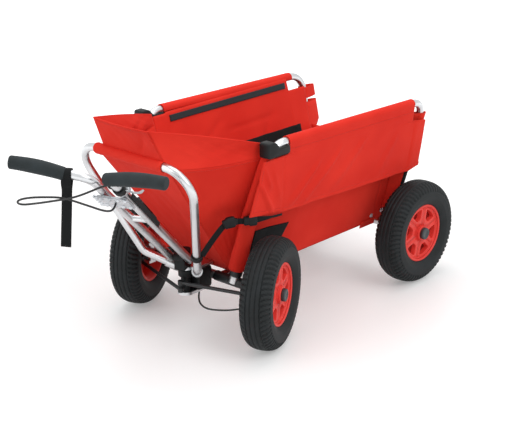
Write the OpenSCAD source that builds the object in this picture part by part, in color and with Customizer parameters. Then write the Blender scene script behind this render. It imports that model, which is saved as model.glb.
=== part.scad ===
// Hand-pulled daycare wagon: welded tube chassis, steered front wheels, two-grip drawbar, fabric tub.
// Millimetres. X to the wagon's left, Y to its rear, Z up. The origin lies on the ground, on the centre plane,
// midway between the axles.

/* [Wheels] */
// Outer diameter of a tyre
tyre_d = 300; // [270:1:330]
// Width of a tyre
tyre_w = 85; // [76:1:88]
// Diameter of a rim over its flanges
rim_d = 172; // [164:1:184]
// Width of a rim over its flanges
rim_w = 64; // [58:1:70]
// Height of a rim flange above the bead seat
flange_h = 8; // [6:0.5:10]
// Thickness of a rim flange
flange_t = 4; // [3:0.5:6]
// Wall of the rim's barrel
rim_wall = 4; // [3:0.5:6]
// Thickness of the spoked web
web_t = 16.5; // [12:0.5:20]
// Distance of the web outboard of the wheel's centre plane
web_out = 8; // [7:0.5:12]
// Windows in the web
rim_windows = 6; // [5:1:7]
// Width of a spoke between two windows
spoke_w = 28; // [22:1:32]
// Diameter of the hub
hub_d = 44; // [36:1:50]
// Distance of the hub's inner end outboard of the centre plane
hub_in = 6; // [5:0.5:7]
// Length of the hub
hub_len = 27; // [20:1:30]

/* [Chassis] */
// Distance between the front and rear axles
wheelbase = 631; // [590:1:680]
// Distance between the centre planes of two opposite wheels
track = 474; // [460:1:500]
// Diameter of the axle beams
beam_d = 25; // [22:0.5:27]
// Diameter of the two spine tubes that join the axles
spine_d = 22; // [18:1:24]
// Distance between the spine tubes
spine_gap = 120; // [90:1:130]
// Diameter of the wheel spindles
spindle_d = 12; // [10:0.5:16]
// Diameter of the shoulder that a hub runs against
shoulder_d = 20; // [18:0.5:26]
// Diameter of the nut on a spindle
nut_d = 30; // [22:1:34]
// Thickness of that nut
nut_t = 8; // [5:0.5:9]

/* [Steering] */
// Angle that the wagon is steered to the left as it stands
parked_steer = 22.5; // [0:0.5:30]
// Distance of a kingpin inboard of its wheel's centre plane
king_inset = 12; // [11:0.5:13]
// Diameter of a kingpin
king_d = 10; // [8:0.5:12]
// Diameter of a knuckle's barrel
barrel_d = 24; // [20:0.5:25]
// Height of a knuckle's barrel
barrel_h = 44; // [40:1:48]
// Thickness of an ear of the beam's end yoke
ear_t = 8; // [6:0.5:10]
// Length of the steering arms, kingpin to rod pin
arm_len = 35; // [32:0.5:38]
// Width of a steering arm
arm_w = 12; // [10:0.5:14]
// Thickness of a steering arm
arm_t = 8; // [6:0.5:9]
// Drop of the steering arms below the axle's centre
arm_drop = 10; // [8:0.5:12]
// Diameter of the pins in the steering arms
rod_pin_d = 8; // [6:0.5:9]
// Diameter of a tie rod
rod_d = 10; // [8:0.5:10]
// Diameter of a tie rod's eye
rod_eye_d = 16; // [14:0.5:18]
// Distance of the steering pivot ahead of the front axle
pivot_ahead = 70; // [66:1:76]
// Diameter of the steering pivot
pivot_d = 14; // [12:0.5:16]
// Diameter of the collar on the steering pivot
collar_d = 26; // [22:0.5:28]

/* [Drawbar] */
// Angle that the drawbar rises from level as it stands
parked_tilt = 38.6; // [20:0.2:45]
// Diameter of the drawbar and hoop tubes
tube_d = 22; // [20:0.5:24]
// Distance between the two drawbar tubes
bar_gap = 52; // [50:0.5:60]
// Distance of the tilt pin ahead of the steering pivot
tilt_ahead = 42; // [38:0.5:46]
// Height of the tilt pin above the ground
tilt_z = 225; // [220:1:235]
// Diameter of the tilt pin
tilt_pin_d = 10; // [8:0.5:12]
// Length of a drawbar tube from tilt pin to handle bend
bar_len = 560; // [480:2:640]
// Length of a drawbar tube behind the tilt pin
bar_tail = 14; // [12:0.5:16]
// Angle that the right handle turns outwards from the drawbar
handle_turn = 72; // [60:1:85]
// Length of the right handle from its bend to its end
handle_len = 182; // [150:1:220]
// Bend radius of the right handle
handle_bend = 40; // [32:1:50]
// Angle between the drawbar and the left handle's crossbar
crossbar_turn = 82; // [75:1:90]
// Length of the left crossbar past the end of its tube
crossbar_len = 138; // [120:1:160]
// Diameter of a foam grip
grip_d = 33; // [28:0.5:38]
// Length of the right foam grip
grip_len = 122; // [90:1:136]

/* [Hoop and side frames] */
// Height of the front hoop's top bar
hoop_z = 530; // [500:1:560]
// Distance of the hoop's top bar ahead of the front axle
hoop_ahead = 256.5; // [240:0.5:275]
// Half width between the hoop's straight legs where they would meet the top bar
hoop_half_w = 218; // [200:1:230]
// Bend radius of the hoop's upper corners
hoop_bend = 66; // [50:1:80]
// Height of the hoop's knees
knee_z = 218; // [214:0.5:226]
// Half width between the hoop's knees
knee_half_w = 100; // [96:0.5:104]
// Distance of the hoop's knees ahead of the front axle
knee_ahead = 126; // [122:0.5:130]
// Bend radius of the knees
knee_bend = 38; // [30:1:40]
// Half width between the hoop's lower ends
foot_half_w = 40; // [38:0.5:44]
// Height of a top tube at its front corner
side_front_z = 545; // [520:1:560]
// Height of a top tube at its rear corner
side_rear_z = 532; // [510:1:550]
// Distance of the front corner behind the front axle
side_front_in = 15.5; // [5:0.5:25]
// Distance of the rear corner behind the rear axle
side_rear_out = 36.5; // [25:0.5:45]
// Bend radius of the side frames
side_bend = 48; // [40:1:60]
// Half width between the front posts' lower ends
post_front_half_w = 122; // [118:0.5:126]
// Half width between the rear posts' lower ends
post_rear_half_w = 145; // [138:0.5:152]
// Height of the posts' lower ends
post_foot_z = 178; // [176:0.5:184]
// Outer diameter of the sockets that hold tubes on the chassis
socket_d = 29; // [28:0.5:32]
// Length of a socket
socket_len = 26; // [20:1:30]

/* [Tub] */
// Thickness of the tub's fabric with its backing
cloth_t = 3; // [2:0.25:4]
// Half width of the floor over the rear part
floor_half_w = 119; // [112:0.5:122]
// Half width of the floor between the front wheels
nose_half_w = 96; // [90:0.5:98]
// Thickness of the floor board
board_t = 6; // [4:0.5:8]
// Half width of the tub's upper edge
rim_half_w = 210.5; // [205:0.5:210.5]
// Height of the rear wall's upper edge
rear_wall_z = 390; // [340:1:420]
// Height of the tub's walls at the side frames
wall_top_z = 526; // [500:1:530]
// Length of a side flap along its sleeve
flap_len = 536; // [500:1:537]
// Depth of a side flap
flap_drop = 200; // [170:1:210]
// Height of the front lip's free edge
lip_z = 620; // [590:1:640]
// Half width of the front lip's free edge
lip_half_w = 97.5; // [85:0.5:105]
// Distance of the front lip's free edge ahead of the hoop's top bar
lip_ahead = 28; // [20:0.5:40]

/* [Hidden] */
$fn = 64;

// Fits: running fit of a pin in its bore, seat of still pieces, gap beside moving ones, overrun of cuts
run_fit = 0.05;
seat_gap = 0.3;
side_gap = 0.3;
overrun = 2;

// A drawn bend is a hair slimmer than its tube, and reaches this far into the straights beside it
bend_relief = 0.05;
bend_lap = 1;

// Wheel sizes worked out
tyre_r = tyre_d / 2;
axle_z = tyre_r;
rim_r = rim_d / 2;
rim_half = rim_w / 2;
seat_r = rim_r - flange_h;
barrel_in_r = seat_r - rim_wall;
bead_half = rim_half - flange_t - seat_gap;
front_y = -wheelbase / 2;
rear_y = wheelbase / 2;
wheel_x = track / 2;
king_x = wheel_x - king_inset;
spindle_r = spindle_d / 2;

// Tyre section above the rim flange, with two grooves in each half of the tread: shares of the height to the tread
// and of half the tyre's width
sidewall_shares = [
    [0.02, 0.79], [0.2, 0.94], [0.42, 1], [0.64, 0.97], [0.82, 0.84], [0.94, 0.6],
    [0.968, 0.47], [0.92, 0.455], [0.92, 0.415], [0.977, 0.4], [1, 0.28],
    [1, 0.185], [0.95, 0.175], [0.95, 0.13], [1, 0.12]
];
// Window in the web: shares of the way from hub to barrel, narrow end and wide end
window_in_share = 0.36;
window_out_share = 0.9;
// Web left behind a window
window_floor = 2;

function unit(v) = v / norm(v);
function mid(a, b, share) = a + (b - a) * share;
function mirrored(p) = [-p.x, p.y, p.z];
function columns(x, y, z, at) = [
    [x.x, y.x, z.x, at.x],
    [x.y, y.y, z.y, at.y],
    [x.z, y.z, z.z, at.z],
    [0, 0, 0, 1]
];
function side_of(z) = abs(z.z) < 0.9 ? [0, 0, 1] : [1, 0, 0];
function along(from, to) =
    let (z = unit(to - from), x = unit(cross(side_of(z), z)))
    columns(x, cross(z, x), z, from);

// A straight round bar from one point to another
module bar(from, to, r) {
    multmatrix(along(from, to))
        cylinder(h = norm(to - from), r = r);
}

// Round tube bent at each inner point of its route, with one bend radius for each inner point
module bent_tube(route, bends, r) {
    last = len(route) - 1;
    legs = [for (i = [0 : last - 1]) unit(route[i + 1] - route[i])];
    turns = [for (i = [1 : last - 1]) acos(legs[i - 1] * legs[i])];
    trims = [0, for (i = [1 : last - 1]) bends[i - 1] * tan(turns[i - 1] / 2), 0];
    for (i = [0 : last - 1])
        bar(route[i] + legs[i] * trims[i], route[i + 1] - legs[i] * trims[i + 1], r);
    for (i = [1 : last - 1]) {
        inward = unit(legs[i] - legs[i - 1] * (legs[i] * legs[i - 1]));
        centre = route[i] - legs[i - 1] * trims[i] + inward * bends[i - 1];
        lap = asin(bend_lap / bends[i - 1]);
        multmatrix(columns(-inward, legs[i - 1], cross(-inward, legs[i - 1]), centre))
            rotate([0, 0, -lap])
                rotate_extrude(angle = turns[i - 1] + 2 * lap)
                    translate([bends[i - 1], 0])
                        circle(r = r - bend_relief);
    }
}

// Flat sheet with straight edges through points that lie in one plane, grown by its thickness along its normal
module flat_sheet(points, t) {
    x = unit(points[1] - points[0]);
    n = unit(cross(x, points[2] - points[0]));
    y = cross(n, x);
    multmatrix(columns(x, y, n, points[0]))
        linear_extrude(height = t)
            polygon([for (p = points) [(p - points[0]) * x, (p - points[0]) * y]]);
}

// Wall between a lower and an upper edge, with its thickness given as an inward step at each station
module ruled_wall(lows, highs, steps) {
    n = len(lows);
    rings = [for (i = [0 : n - 1]) each [lows[i], highs[i], highs[i] + steps[i], lows[i] + steps[i]]];
    skins = [for (i = [0 : n - 2], k = [0 : 3])
        let (a = 4 * i + k, b = 4 * i + (k + 1) % 4)
        each [[a, a + 4, b + 4], [a, b + 4, b]]];
    ends = [[0, 1, 2, 3], [4 * n - 1, 4 * n - 2, 4 * n - 3, 4 * n - 4]];
    polyhedron(points = rings, faces = concat(skins, ends));
}

// Flexible tube swept along a route of points
module swept_tube(route, r, sides) {
    last = len(route) - 1;
    heads = [for (i = [0 : last]) unit(route[min(i + 1, last)] - route[max(i - 1, 0)])];
    rings = [for (i = [0 : last])
        let (x = unit(cross(side_of(heads[i]), heads[i])), y = cross(heads[i], x))
        for (k = [0 : sides - 1]) route[i] + r * (x * cos(360 * k / sides) + y * sin(360 * k / sides))];
    skins = [for (i = [0 : last - 1], k = [0 : sides - 1])
        let (a = sides * i + k, b = sides * i + (k + 1) % sides)
        each [[a, a + sides, b + sides], [a, b + sides, b]]];
    start_cap = [for (k = [0 : sides - 1]) k];
    end_cap = [for (k = [0 : sides - 1]) sides * last + sides - 1 - k];
    polyhedron(points = rings, faces = concat(skins, [start_cap, end_cap]));
}

// Points of a smooth curve through a hand-chosen route
function curve_point(a, b, c, d, t) =
    ((b * 2) + (c - a) * t + (a * 2 - b * 5 + c * 4 - d) * t * t + (b * 3 - a - c * 3 + d) * t * t * t) / 2;
function smooth_route(route, steps) =
    let (last = len(route) - 1)
    [for (i = [0 : last - 1], k = [0 : steps - 1])
        curve_point(route[max(i - 1, 0)], route[i], route[i + 1], route[min(i + 2, last)], k / steps),
     route[last]];

// Places
module at_left_king() {
    translate([king_x, front_y, axle_z])
        rotate([0, 0, parked_steer])
            children();
}
module at_right_king() {
    translate([-king_x, front_y, axle_z])
        rotate([0, 0, parked_steer])
            mirror([1, 0, 0])
                children();
}
module at_rear_left() {
    translate([king_x, rear_y, axle_z])
        children();
}
module at_rear_right() {
    mirror([1, 0, 0])
        at_rear_left()
            children();
}
module on_wheel() {
    translate([king_inset, 0, 0])
        rotate([0, 90, 0])
            children();
}

// Wheels, drawn about the Z axis with their outboard side up
rim_profile = [
    [barrel_in_r, -rim_half], [rim_r, -rim_half], [rim_r, flange_t - rim_half], [seat_r, flange_t - rim_half],
    [seat_r, rim_half - flange_t], [rim_r, rim_half - flange_t], [rim_r, rim_half], [barrel_in_r, rim_half]
];
tyre_edge = [for (s = sidewall_shares)
    [mid(rim_r + seat_gap, tyre_r, s[0]), s[1] * tyre_w / 2]];
tyre_half = concat([[seat_r + seat_gap, bead_half], [rim_r + seat_gap, bead_half]], tyre_edge);
tyre_profile = concat(tyre_half, [for (i = [len(tyre_half) - 1 : -1 : 0]) [tyre_half[i].x, -tyre_half[i].y]]);

module rim_window() {
    inner = mid(hub_d / 2, barrel_in_r, window_in_share);
    outer = mid(hub_d / 2, barrel_in_r, window_out_share);
    half_in = inner * tan(180 / rim_windows) - spoke_w / 2 / cos(180 / rim_windows);
    half_out = outer * tan(180 / rim_windows) - spoke_w / 2 / cos(180 / rim_windows);
    translate([0, 0, window_floor])
        linear_extrude(height = web_t + overrun)
            intersection() {
                polygon([[inner, -half_in], [outer, -half_out], [outer, half_out], [inner, half_in]]);
                circle(r = outer);
            }
}
module rim() {
    color("crimson")
        difference() {
            union() {
                rotate_extrude()
                    polygon(rim_profile);
                translate([0, 0, web_out])
                    difference() {
                        cylinder(h = web_t, r = seat_r - rim_wall / 2);
                        for (i = [0 : rim_windows - 1])
                            rotate([0, 0, 360 * i / rim_windows])
                                rim_window();
                    }
                translate([0, 0, hub_in])
                    cylinder(h = hub_len, d = hub_d);
            }
            translate([0, 0, hub_in - overrun])
                cylinder(h = hub_len + 2 * overrun, r = spindle_r + run_fit);
        }
}
module tyre() {
    color([0.16, 0.17, 0.18])
        rotate_extrude()
            polygon(tyre_profile);
}
module rim_front_left() { at_left_king() on_wheel() rim(); }
module tyre_front_left() { at_left_king() on_wheel() tyre(); }
module rim_front_right() { at_right_king() on_wheel() rim(); }
module tyre_front_right() { at_right_king() on_wheel() tyre(); }
module rim_rear_left() { at_rear_left() on_wheel() rim(); }
module tyre_rear_left() { at_rear_left() on_wheel() tyre(); }
module rim_rear_right() { at_rear_right() on_wheel() rim(); }
module tyre_rear_right() { at_rear_right() on_wheel() tyre(); }

// Spindle with shoulder and nut, along +X from a kingpin's or beam end's place
hub_start = king_inset + hub_in;
hub_end = hub_start + hub_len;
module spindle(start) {
    rotate([0, 90, 0]) {
        translate([0, 0, start])
            cylinder(h = hub_start - seat_gap - start, d = shoulder_d);
        translate([0, 0, start])
            cylinder(h = hub_end + nut_t - start, d = spindle_d);
        translate([0, 0, hub_end + seat_gap])
            cylinder(h = nut_t, d = nut_d);
    }
}

// Steering linkage levels
arm_top = axle_z - arm_drop + arm_t / 2;
arm_bottom = arm_top - arm_t;
eye_lip = 1;
eye_h = rod_d + 2 * eye_lip;
pivot = [0, front_y - pivot_ahead, 0];
lug_t = 8;
lug_below = 42;
lug_above = 30;
lug_low_z = axle_z - lug_below;
lug_high_z = axle_z + lug_above;
lug_d = 44;
lug_low_half_w = lug_d / 2;
lug_high_half_w = 34;
web_plate_t = 20;
heading = [sin(parked_steer), -cos(parked_steer), 0];
across = [cos(parked_steer), sin(parked_steer), 0];
rod_pin_step = heading * arm_len;

// Knuckle at its kingpin, with its arm forward; rod_up tells on which face the tie rod's eye sits
module knuckle(rod_up) {
    color("silver")
        difference() {
            union() {
                translate([0, 0, -barrel_h / 2])
                    cylinder(h = barrel_h, d = barrel_d);
                spindle(0);
                translate([-arm_w / 2, -arm_len, arm_bottom - axle_z])
                    cube([arm_w, arm_len, arm_t]);
                translate([0, -arm_len, arm_bottom - axle_z])
                    cylinder(h = arm_t, d = arm_w);
                translate([0, -arm_len, (rod_up ? arm_bottom : arm_bottom - side_gap - eye_h) - axle_z])
                    cylinder(h = arm_t + side_gap + eye_h, d = rod_pin_d);
            }
            translate([0, 0, -barrel_h / 2 - overrun])
                cylinder(h = barrel_h + 2 * overrun, r = king_d / 2 + run_fit);
        }
}
module knuckle_left() { at_left_king() knuckle(true); }
module knuckle_right() { at_right_king() knuckle(false); }

// Tie rod from the steering head's pin to a knuckle's pin
module tie_rod(king, eye_z) {
    from = pivot + rod_pin_step + [0, 0, eye_z];
    to = king + rod_pin_step + [0, 0, eye_z];
    lift = [0, 0, eye_h / 2];
    color("gray")
        difference() {
            union() {
                for (eye = [from, to])
                    translate(eye)
                        cylinder(h = eye_h, d = rod_eye_d);
                bar(from + lift, to + lift, rod_d / 2);
            }
            for (eye = [from, to])
                translate(eye - [0, 0, overrun])
                    cylinder(h = eye_h + 2 * overrun, r = rod_pin_d / 2 + run_fit);
        }
}
module tie_rod_left() { tie_rod([king_x, front_y, 0], arm_top + side_gap); }
module tie_rod_right() { tie_rod([-king_x, front_y, 0], arm_bottom - side_gap - eye_h); }

// Steering head: pivot pin, collar with steering arm, and block with the drawbar's tilt pin
head_half_w = bar_gap / 2 - tube_d / 2 - 2 * side_gap;
head_z = lug_high_z + lug_t + side_gap;
head_h = tilt_z - head_z + tilt_pin_d;
module steering_head() {
    color("silver")
        translate(pivot)
            rotate([0, 0, parked_steer]) {
                translate([0, 0, lug_low_z])
                    cylinder(h = head_z - lug_low_z, d = pivot_d);
                translate([0, 0, lug_low_z + lug_t + side_gap])
                    cylinder(h = lug_high_z - lug_low_z - lug_t - 2 * side_gap, d = collar_d);
                translate([-arm_w / 2, -arm_len, arm_bottom])
                    cube([arm_w, arm_len, arm_t]);
                translate([0, -arm_len, arm_bottom])
                    cylinder(h = arm_t, d = arm_w);
                translate([0, -arm_len, arm_bottom - side_gap - eye_h])
                    cylinder(h = arm_t + 2 * side_gap + 2 * eye_h, d = rod_pin_d);
                translate([-head_half_w, -tilt_ahead, head_z])
                    cube([2 * head_half_w, tilt_ahead, head_h]);
                translate([0, 0, head_z])
                    cylinder(h = head_h, r = head_half_w);
                translate([-head_half_w, -tilt_ahead, tilt_z])
                    rotate([0, 90, 0])
                        cylinder(h = 2 * head_half_w, d = tilt_pin_d * 2);
                translate([-bar_gap / 2 - tube_d / 2 - overrun, -tilt_ahead, tilt_z])
                    rotate([0, 90, 0])
                        cylinder(h = bar_gap + tube_d + 2 * overrun, d = tilt_pin_d);
            }
}

// Drawbar: two tubes that part into handles
tilt_pin = pivot + heading * tilt_ahead + [0, 0, tilt_z];
rise = heading * cos(parked_tilt) + [0, 0, sin(parked_tilt)];
bar_up = cross(across, rise).z > 0 ? cross(across, rise) : cross(rise, across);
// Places along the drawbar, back from the handles
plate_back = 135;
plate_at = bar_len - plate_back;
plate_len = 60;
plate_t = 6;
cross_back = 260;
cross_at = bar_len - cross_back;
cross_d = 16;
function handle_dir(side) = rise * cos(handle_turn) + across * (side * sin(handle_turn));
function bar_point(side, at) = tilt_pin + across * (side * bar_gap / 2) + rise * at;
function handle_corner(side) = bar_point(side, bar_len);
function handle_end(side) = handle_corner(side) + handle_dir(side) * handle_len;
// Left crossbar: stands a little above the right bend, reaches past its tube's inner side, and is thicker than it
crossbar_up = 10;
crossbar_in = 14;
crossbar_lip = 1.4;
crossbar_r = tube_d / 2 + crossbar_lip;
crossbar_dir = rise * cos(crossbar_turn) + across * sin(crossbar_turn);
crossbar_at = bar_point(1, bar_len + crossbar_up);
crossbar_start = crossbar_at - crossbar_dir * crossbar_in;
crossbar_end = crossbar_at + crossbar_dir * crossbar_len;

module drawbar_tubes() {
    color("silver")
        difference() {
            union() {
                bent_tube([bar_point(-1, -bar_tail), handle_corner(-1), handle_end(-1)],
                    [handle_bend], tube_d / 2);
                bar(bar_point(1, -bar_tail), crossbar_at, tube_d / 2);
                bar(crossbar_start, crossbar_end, crossbar_r);
                bar(bar_point(-1, cross_at), bar_point(1, cross_at), cross_d / 2);
            }
            bar(tilt_pin - across * bar_gap, tilt_pin + across * bar_gap, tilt_pin_d / 2 + run_fit);
        }
}
module handle_plate() {
    drop = tube_d / 2 + seat_gap + plate_t;
    corner = tilt_pin - across * (bar_gap / 2 + tube_d / 2) + rise * plate_at - bar_up * drop;
    color("lightgray")
        multmatrix(columns(across, rise, bar_up, corner))
            cube([bar_gap + tube_d, plate_len, plate_t]);
}
// Left grip: a slimmer collar round the end of the tube
collar_len = 15;
collar_in = 1;
module grip_left() {
    collar_end = crossbar_at + crossbar_dir * collar_len;
    end = crossbar_end + crossbar_dir * grip_d / 4;
    color([0.13, 0.13, 0.14])
        difference() {
            union() {
                bar(crossbar_start, collar_end, grip_d / 2 - collar_in);
                bar(collar_end, end, grip_d / 2);
            }
            bar(crossbar_start - crossbar_dir * overrun, crossbar_end + crossbar_dir * seat_gap,
                crossbar_r + seat_gap);
            bar(crossbar_at - rise * grip_d, crossbar_at, tube_d / 2 + seat_gap);
        }
}
module grip_right() {
    tip = handle_end(-1);
    start = tip - handle_dir(-1) * grip_len;
    end = tip + handle_dir(-1) * grip_d / 4;
    color([0.13, 0.13, 0.14])
        difference() {
            bar(start, end, grip_d / 2);
            bar(start - handle_dir(-1) * overrun, tip + handle_dir(-1) * seat_gap, tube_d / 2 + seat_gap);
        }
}

// Brake lever on the left tube: clamp ring, pivot block and blade
lever_back = 60;
lever_at = bar_len - lever_back;
clamp_len = 20;
clamp_t = 4;
lever_len = 58;
lever_w = 10;
lever_t = 6;
module brake_lever() {
    at = bar_point(1, lever_at);
    foot = at + bar_up * (tube_d / 2 + seat_gap + clamp_t / 2);
    color([0.6, 0.6, 0.62]) {
        difference() {
            bar(at, at + rise * clamp_len, tube_d / 2 + seat_gap + clamp_t);
            bar(at - rise * overrun, at + rise * (clamp_len + overrun), tube_d / 2 + seat_gap);
        }
        multmatrix(columns(across, rise, bar_up, foot))
            cube([lever_len, lever_w, lever_t]);
    }
}

// Brake cable from the lever in a loose loop back to the plate, and one from frame to left front hub
cable_d = 5;
cable_sides = 8;
cable_steps = 3;
// Steps of the lever's cable from the lever's clamp: across, along and above the drawbar
lever_cable_steps = [
    [-13.95, 20.92, 0.01], [-14.34, 26.88, 0.11], [-23.36, 41.64, -6.29], [-52.56, 48.39, -27.03],
    [-84.36, 56.61, -47.67], [-124.14, 80.77, -70.8], [-163.15, 105.36, -90.43],
    [-183.74, 116.86, -97.05], [-180.99, 109.47, -87.31], [-151.67, 88.07, -67.67],
    [-105.27, 62.75, -53.85], [-60.71, 26.23, -52.85], [-38.02, -13.36, -48.11],
    [-27.68, -37.85, -38.8], [-25.95, -44.97, -23.02], [-25.95, -44.98, -18.01]
];
lever_cable_start = bar_point(1, lever_at);
lever_cable_route = [for (s = lever_cable_steps) lever_cable_start + across * s.x + rise * s.y + bar_up * s.z];
// Places of the hub's cable: share of the way out to the kingpin, then steps from the front axle
hub_cable_places = [
    [0.07111, -36.5, -42.7], [0.07111, -36.5, -48], [0.08444, -41.5, -57], [0.17778, -56.5, -67],
    [0.31556, -59.5, -72], [0.53333, -44.5, -67], [0.73333, -26.5, -55], [0.90222, -8.5, -44],
    [0.94222, -4.5, -36], [0.94222, -4.5, -31]
];
hub_cable_route = [for (s = hub_cable_places) [s.x * king_x, front_y + s.y, axle_z + s.z]];
module lever_cable() {
    color([0.1, 0.1, 0.1])
        swept_tube(smooth_route(lever_cable_route, cable_steps), cable_d / 2, cable_sides);
}
module hub_cable() {
    color([0.1, 0.1, 0.1])
        swept_tube(smooth_route(hub_cable_route, cable_steps), cable_d / 2, cable_sides);
}

// Wrist strap of folded webbing that hangs from the right handle
strap_w = 26;
strap_t = 4;
strap_drop = 176;
strap_at = 44;
module wrist_strap() {
    at = handle_corner(-1) + handle_dir(-1) * strap_at;
    ring_r = tube_d / 2 + seat_gap + strap_t;
    color([0.1, 0.1, 0.1]) {
        difference() {
            bar(at, at + handle_dir(-1) * strap_w / 2, ring_r);
            bar(at - handle_dir(-1) * overrun, at + handle_dir(-1) * (strap_w / 2 + overrun),
                tube_d / 2 + seat_gap);
        }
        translate(at - [0, 0, tube_d / 2 + seat_gap])
            rotate([0, 0, parked_steer])
                translate([-strap_w, 0, -strap_drop])
                    cube([strap_w, strap_t, strap_drop - strap_t / 2]);
    }
}

// Front hoop
function hoop_point(x, ahead, z) = [x, front_y - ahead, z];
foot_behind = 2;
foot_drop = 3;
foot_ahead = pivot_ahead - foot_behind;
foot_z = lug_high_z - foot_drop;
hoop_foot = hoop_point(foot_half_w, foot_ahead, foot_z);
hoop_knee = hoop_point(knee_half_w, knee_ahead, knee_z);
hoop_corner = hoop_point(hoop_half_w, hoop_ahead, hoop_z);
module front_hoop() {
    color("silver")
        bent_tube(
            [hoop_foot, hoop_knee, hoop_corner,
                mirrored(hoop_corner), mirrored(hoop_knee), mirrored(hoop_foot)],
            [knee_bend, hoop_bend, hoop_bend, knee_bend], tube_d / 2);
}

// Side frames
// Spread of the side frames' top tubes over the tub's upper edge
side_spread_share = 1.083135;
side_half_w = rim_half_w * side_spread_share;
post_ahead = 4;
side_foot_front = [post_front_half_w, front_y - post_ahead, post_foot_z];
side_foot_rear = [post_rear_half_w, rear_y, post_foot_z];
side_corner_front = [side_half_w, front_y + side_front_in, side_front_z];
side_corner_rear = [side_half_w, rear_y + side_rear_out, side_rear_z];
side_route = [side_foot_front, side_corner_front, side_corner_rear, side_foot_rear];
module side_frame_left() {
    color("silver")
        bent_tube(side_route, [side_bend, side_bend], tube_d / 2);
}
module side_frame_right() { mirror([1, 0, 0]) side_frame_left(); }

// Black corner caps over the front bends of the side frames
cap_w = 34;
cap_len = 84;
cap_h = 40;
cap_ahead = 29;
// The cap's rear part is lower, and the tube lies open in it: where its slope starts, and how long and deep it is
cap_step = 28;
cap_slope = 16;
cap_low = 18;
module corner_cap_left() {
    color([0.12, 0.12, 0.13])
        difference() {
            translate(side_corner_front + [-cap_w / 2, -cap_ahead, tube_d / 2 + seat_gap * 2 - cap_h])
                rotate([90, 0, 90])
                    linear_extrude(height = cap_w)
                        polygon([[0, 0], [cap_len, 0], [cap_len, cap_h - cap_low],
                            [cap_step + cap_slope, cap_h - cap_low], [cap_step, cap_h], [0, cap_h]]);
            bent_tube(side_route, [side_bend, side_bend], tube_d / 2 + seat_gap);
        }
}
module corner_cap_right() { mirror([1, 0, 0]) corner_cap_left(); }

// Chassis: both axle beams, spine tubes, steering bracket and the sockets for posts and hoop
beam_half = king_x - barrel_d / 2 - overrun;
yoke_w = 14;
yoke_t = 10;
// The spine tubes lie flush with the beams' upper sides, under the floor
spine_z = axle_z + beam_d / 2 - spine_d / 2;
// Reach of the sockets past the tubes' ends, into what they are welded to
hoop_root = 12;
post_root = post_foot_z - axle_z;
module beam_yoke() {
    translate([beam_half - yoke_t, -yoke_w / 2, -barrel_h / 2 - ear_t - side_gap])
        cube([yoke_t, yoke_w, barrel_h + 2 * ear_t + 2 * side_gap]);
    for (z = [-barrel_h / 2 - side_gap - ear_t, barrel_h / 2 + side_gap]) {
        translate([beam_half - yoke_t, -barrel_d / 2, z])
            cube([king_x - beam_half + yoke_t, barrel_d, ear_t]);
        translate([king_x, 0, z])
            cylinder(h = ear_t, d = barrel_d);
    }
    translate([king_x, 0, -barrel_h / 2 - ear_t])
        cylinder(h = barrel_h + 2 * ear_t, d = king_d);
}
module front_beam() {
    translate([0, front_y, axle_z]) {
        bar([yoke_t / 2 - beam_half, 0, 0], [beam_half - yoke_t / 2, 0, 0], beam_d / 2);
        beam_yoke();
        mirror([1, 0, 0])
            beam_yoke();
    }
}
module rear_beam() {
    bar([-king_x, rear_y, axle_z], [king_x, rear_y, axle_z], beam_d / 2);
    at_rear_left()
        spindle(0);
    at_rear_right()
        spindle(0);
}
module spine() {
    for (side = [-1, 1])
        bar([side * spine_gap / 2, front_y, spine_z], [side * spine_gap / 2, rear_y, spine_z], spine_d / 2);
}
module bracket() {
    web_y = front_y - web_plate_t;
    translate([-lug_low_half_w, web_y, lug_low_z])
        cube([2 * lug_low_half_w, web_plate_t, lug_high_z + lug_t - lug_low_z]);
    for (lug = [[lug_low_z, lug_low_half_w], [lug_high_z, lug_high_half_w]])
        difference() {
            union() {
                translate([-lug[1], pivot.y, lug[0]])
                    cube([2 * lug[1], front_y - pivot.y, lug_t]);
                translate([0, pivot.y, lug[0]])
                    cylinder(h = lug_t, d = lug_d);
            }
            translate([0, pivot.y, lug[0] - overrun])
                cylinder(h = lug_t + 2 * overrun, r = pivot_d / 2 + run_fit);
        }
}
module socket(foot, next, root) {
    dir = unit(next - foot);
    bar(foot - dir * root, foot + dir * socket_len, socket_d / 2);
}
module socket_bore(foot, next) {
    dir = unit(next - foot);
    bar(foot - dir * seat_gap, foot + dir * (socket_len + overrun), tube_d / 2 + seat_gap);
}
module both_sides() {
    children();
    mirror([1, 0, 0])
        children();
}
module chassis_frame() {
    color("silver")
        difference() {
            union() {
                front_beam();
                rear_beam();
                spine();
                bracket();
                both_sides() {
                    socket(hoop_foot, hoop_knee, hoop_root);
                    socket(side_foot_front, side_corner_front, post_root);
                    socket(side_foot_rear, side_corner_rear, post_root);
                }
            }
            both_sides() {
                socket_bore(hoop_foot, hoop_knee);
                socket_bore(side_foot_front, side_corner_front);
                socket_bore(side_foot_rear, side_corner_rear);
            }
        }
}

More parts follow.
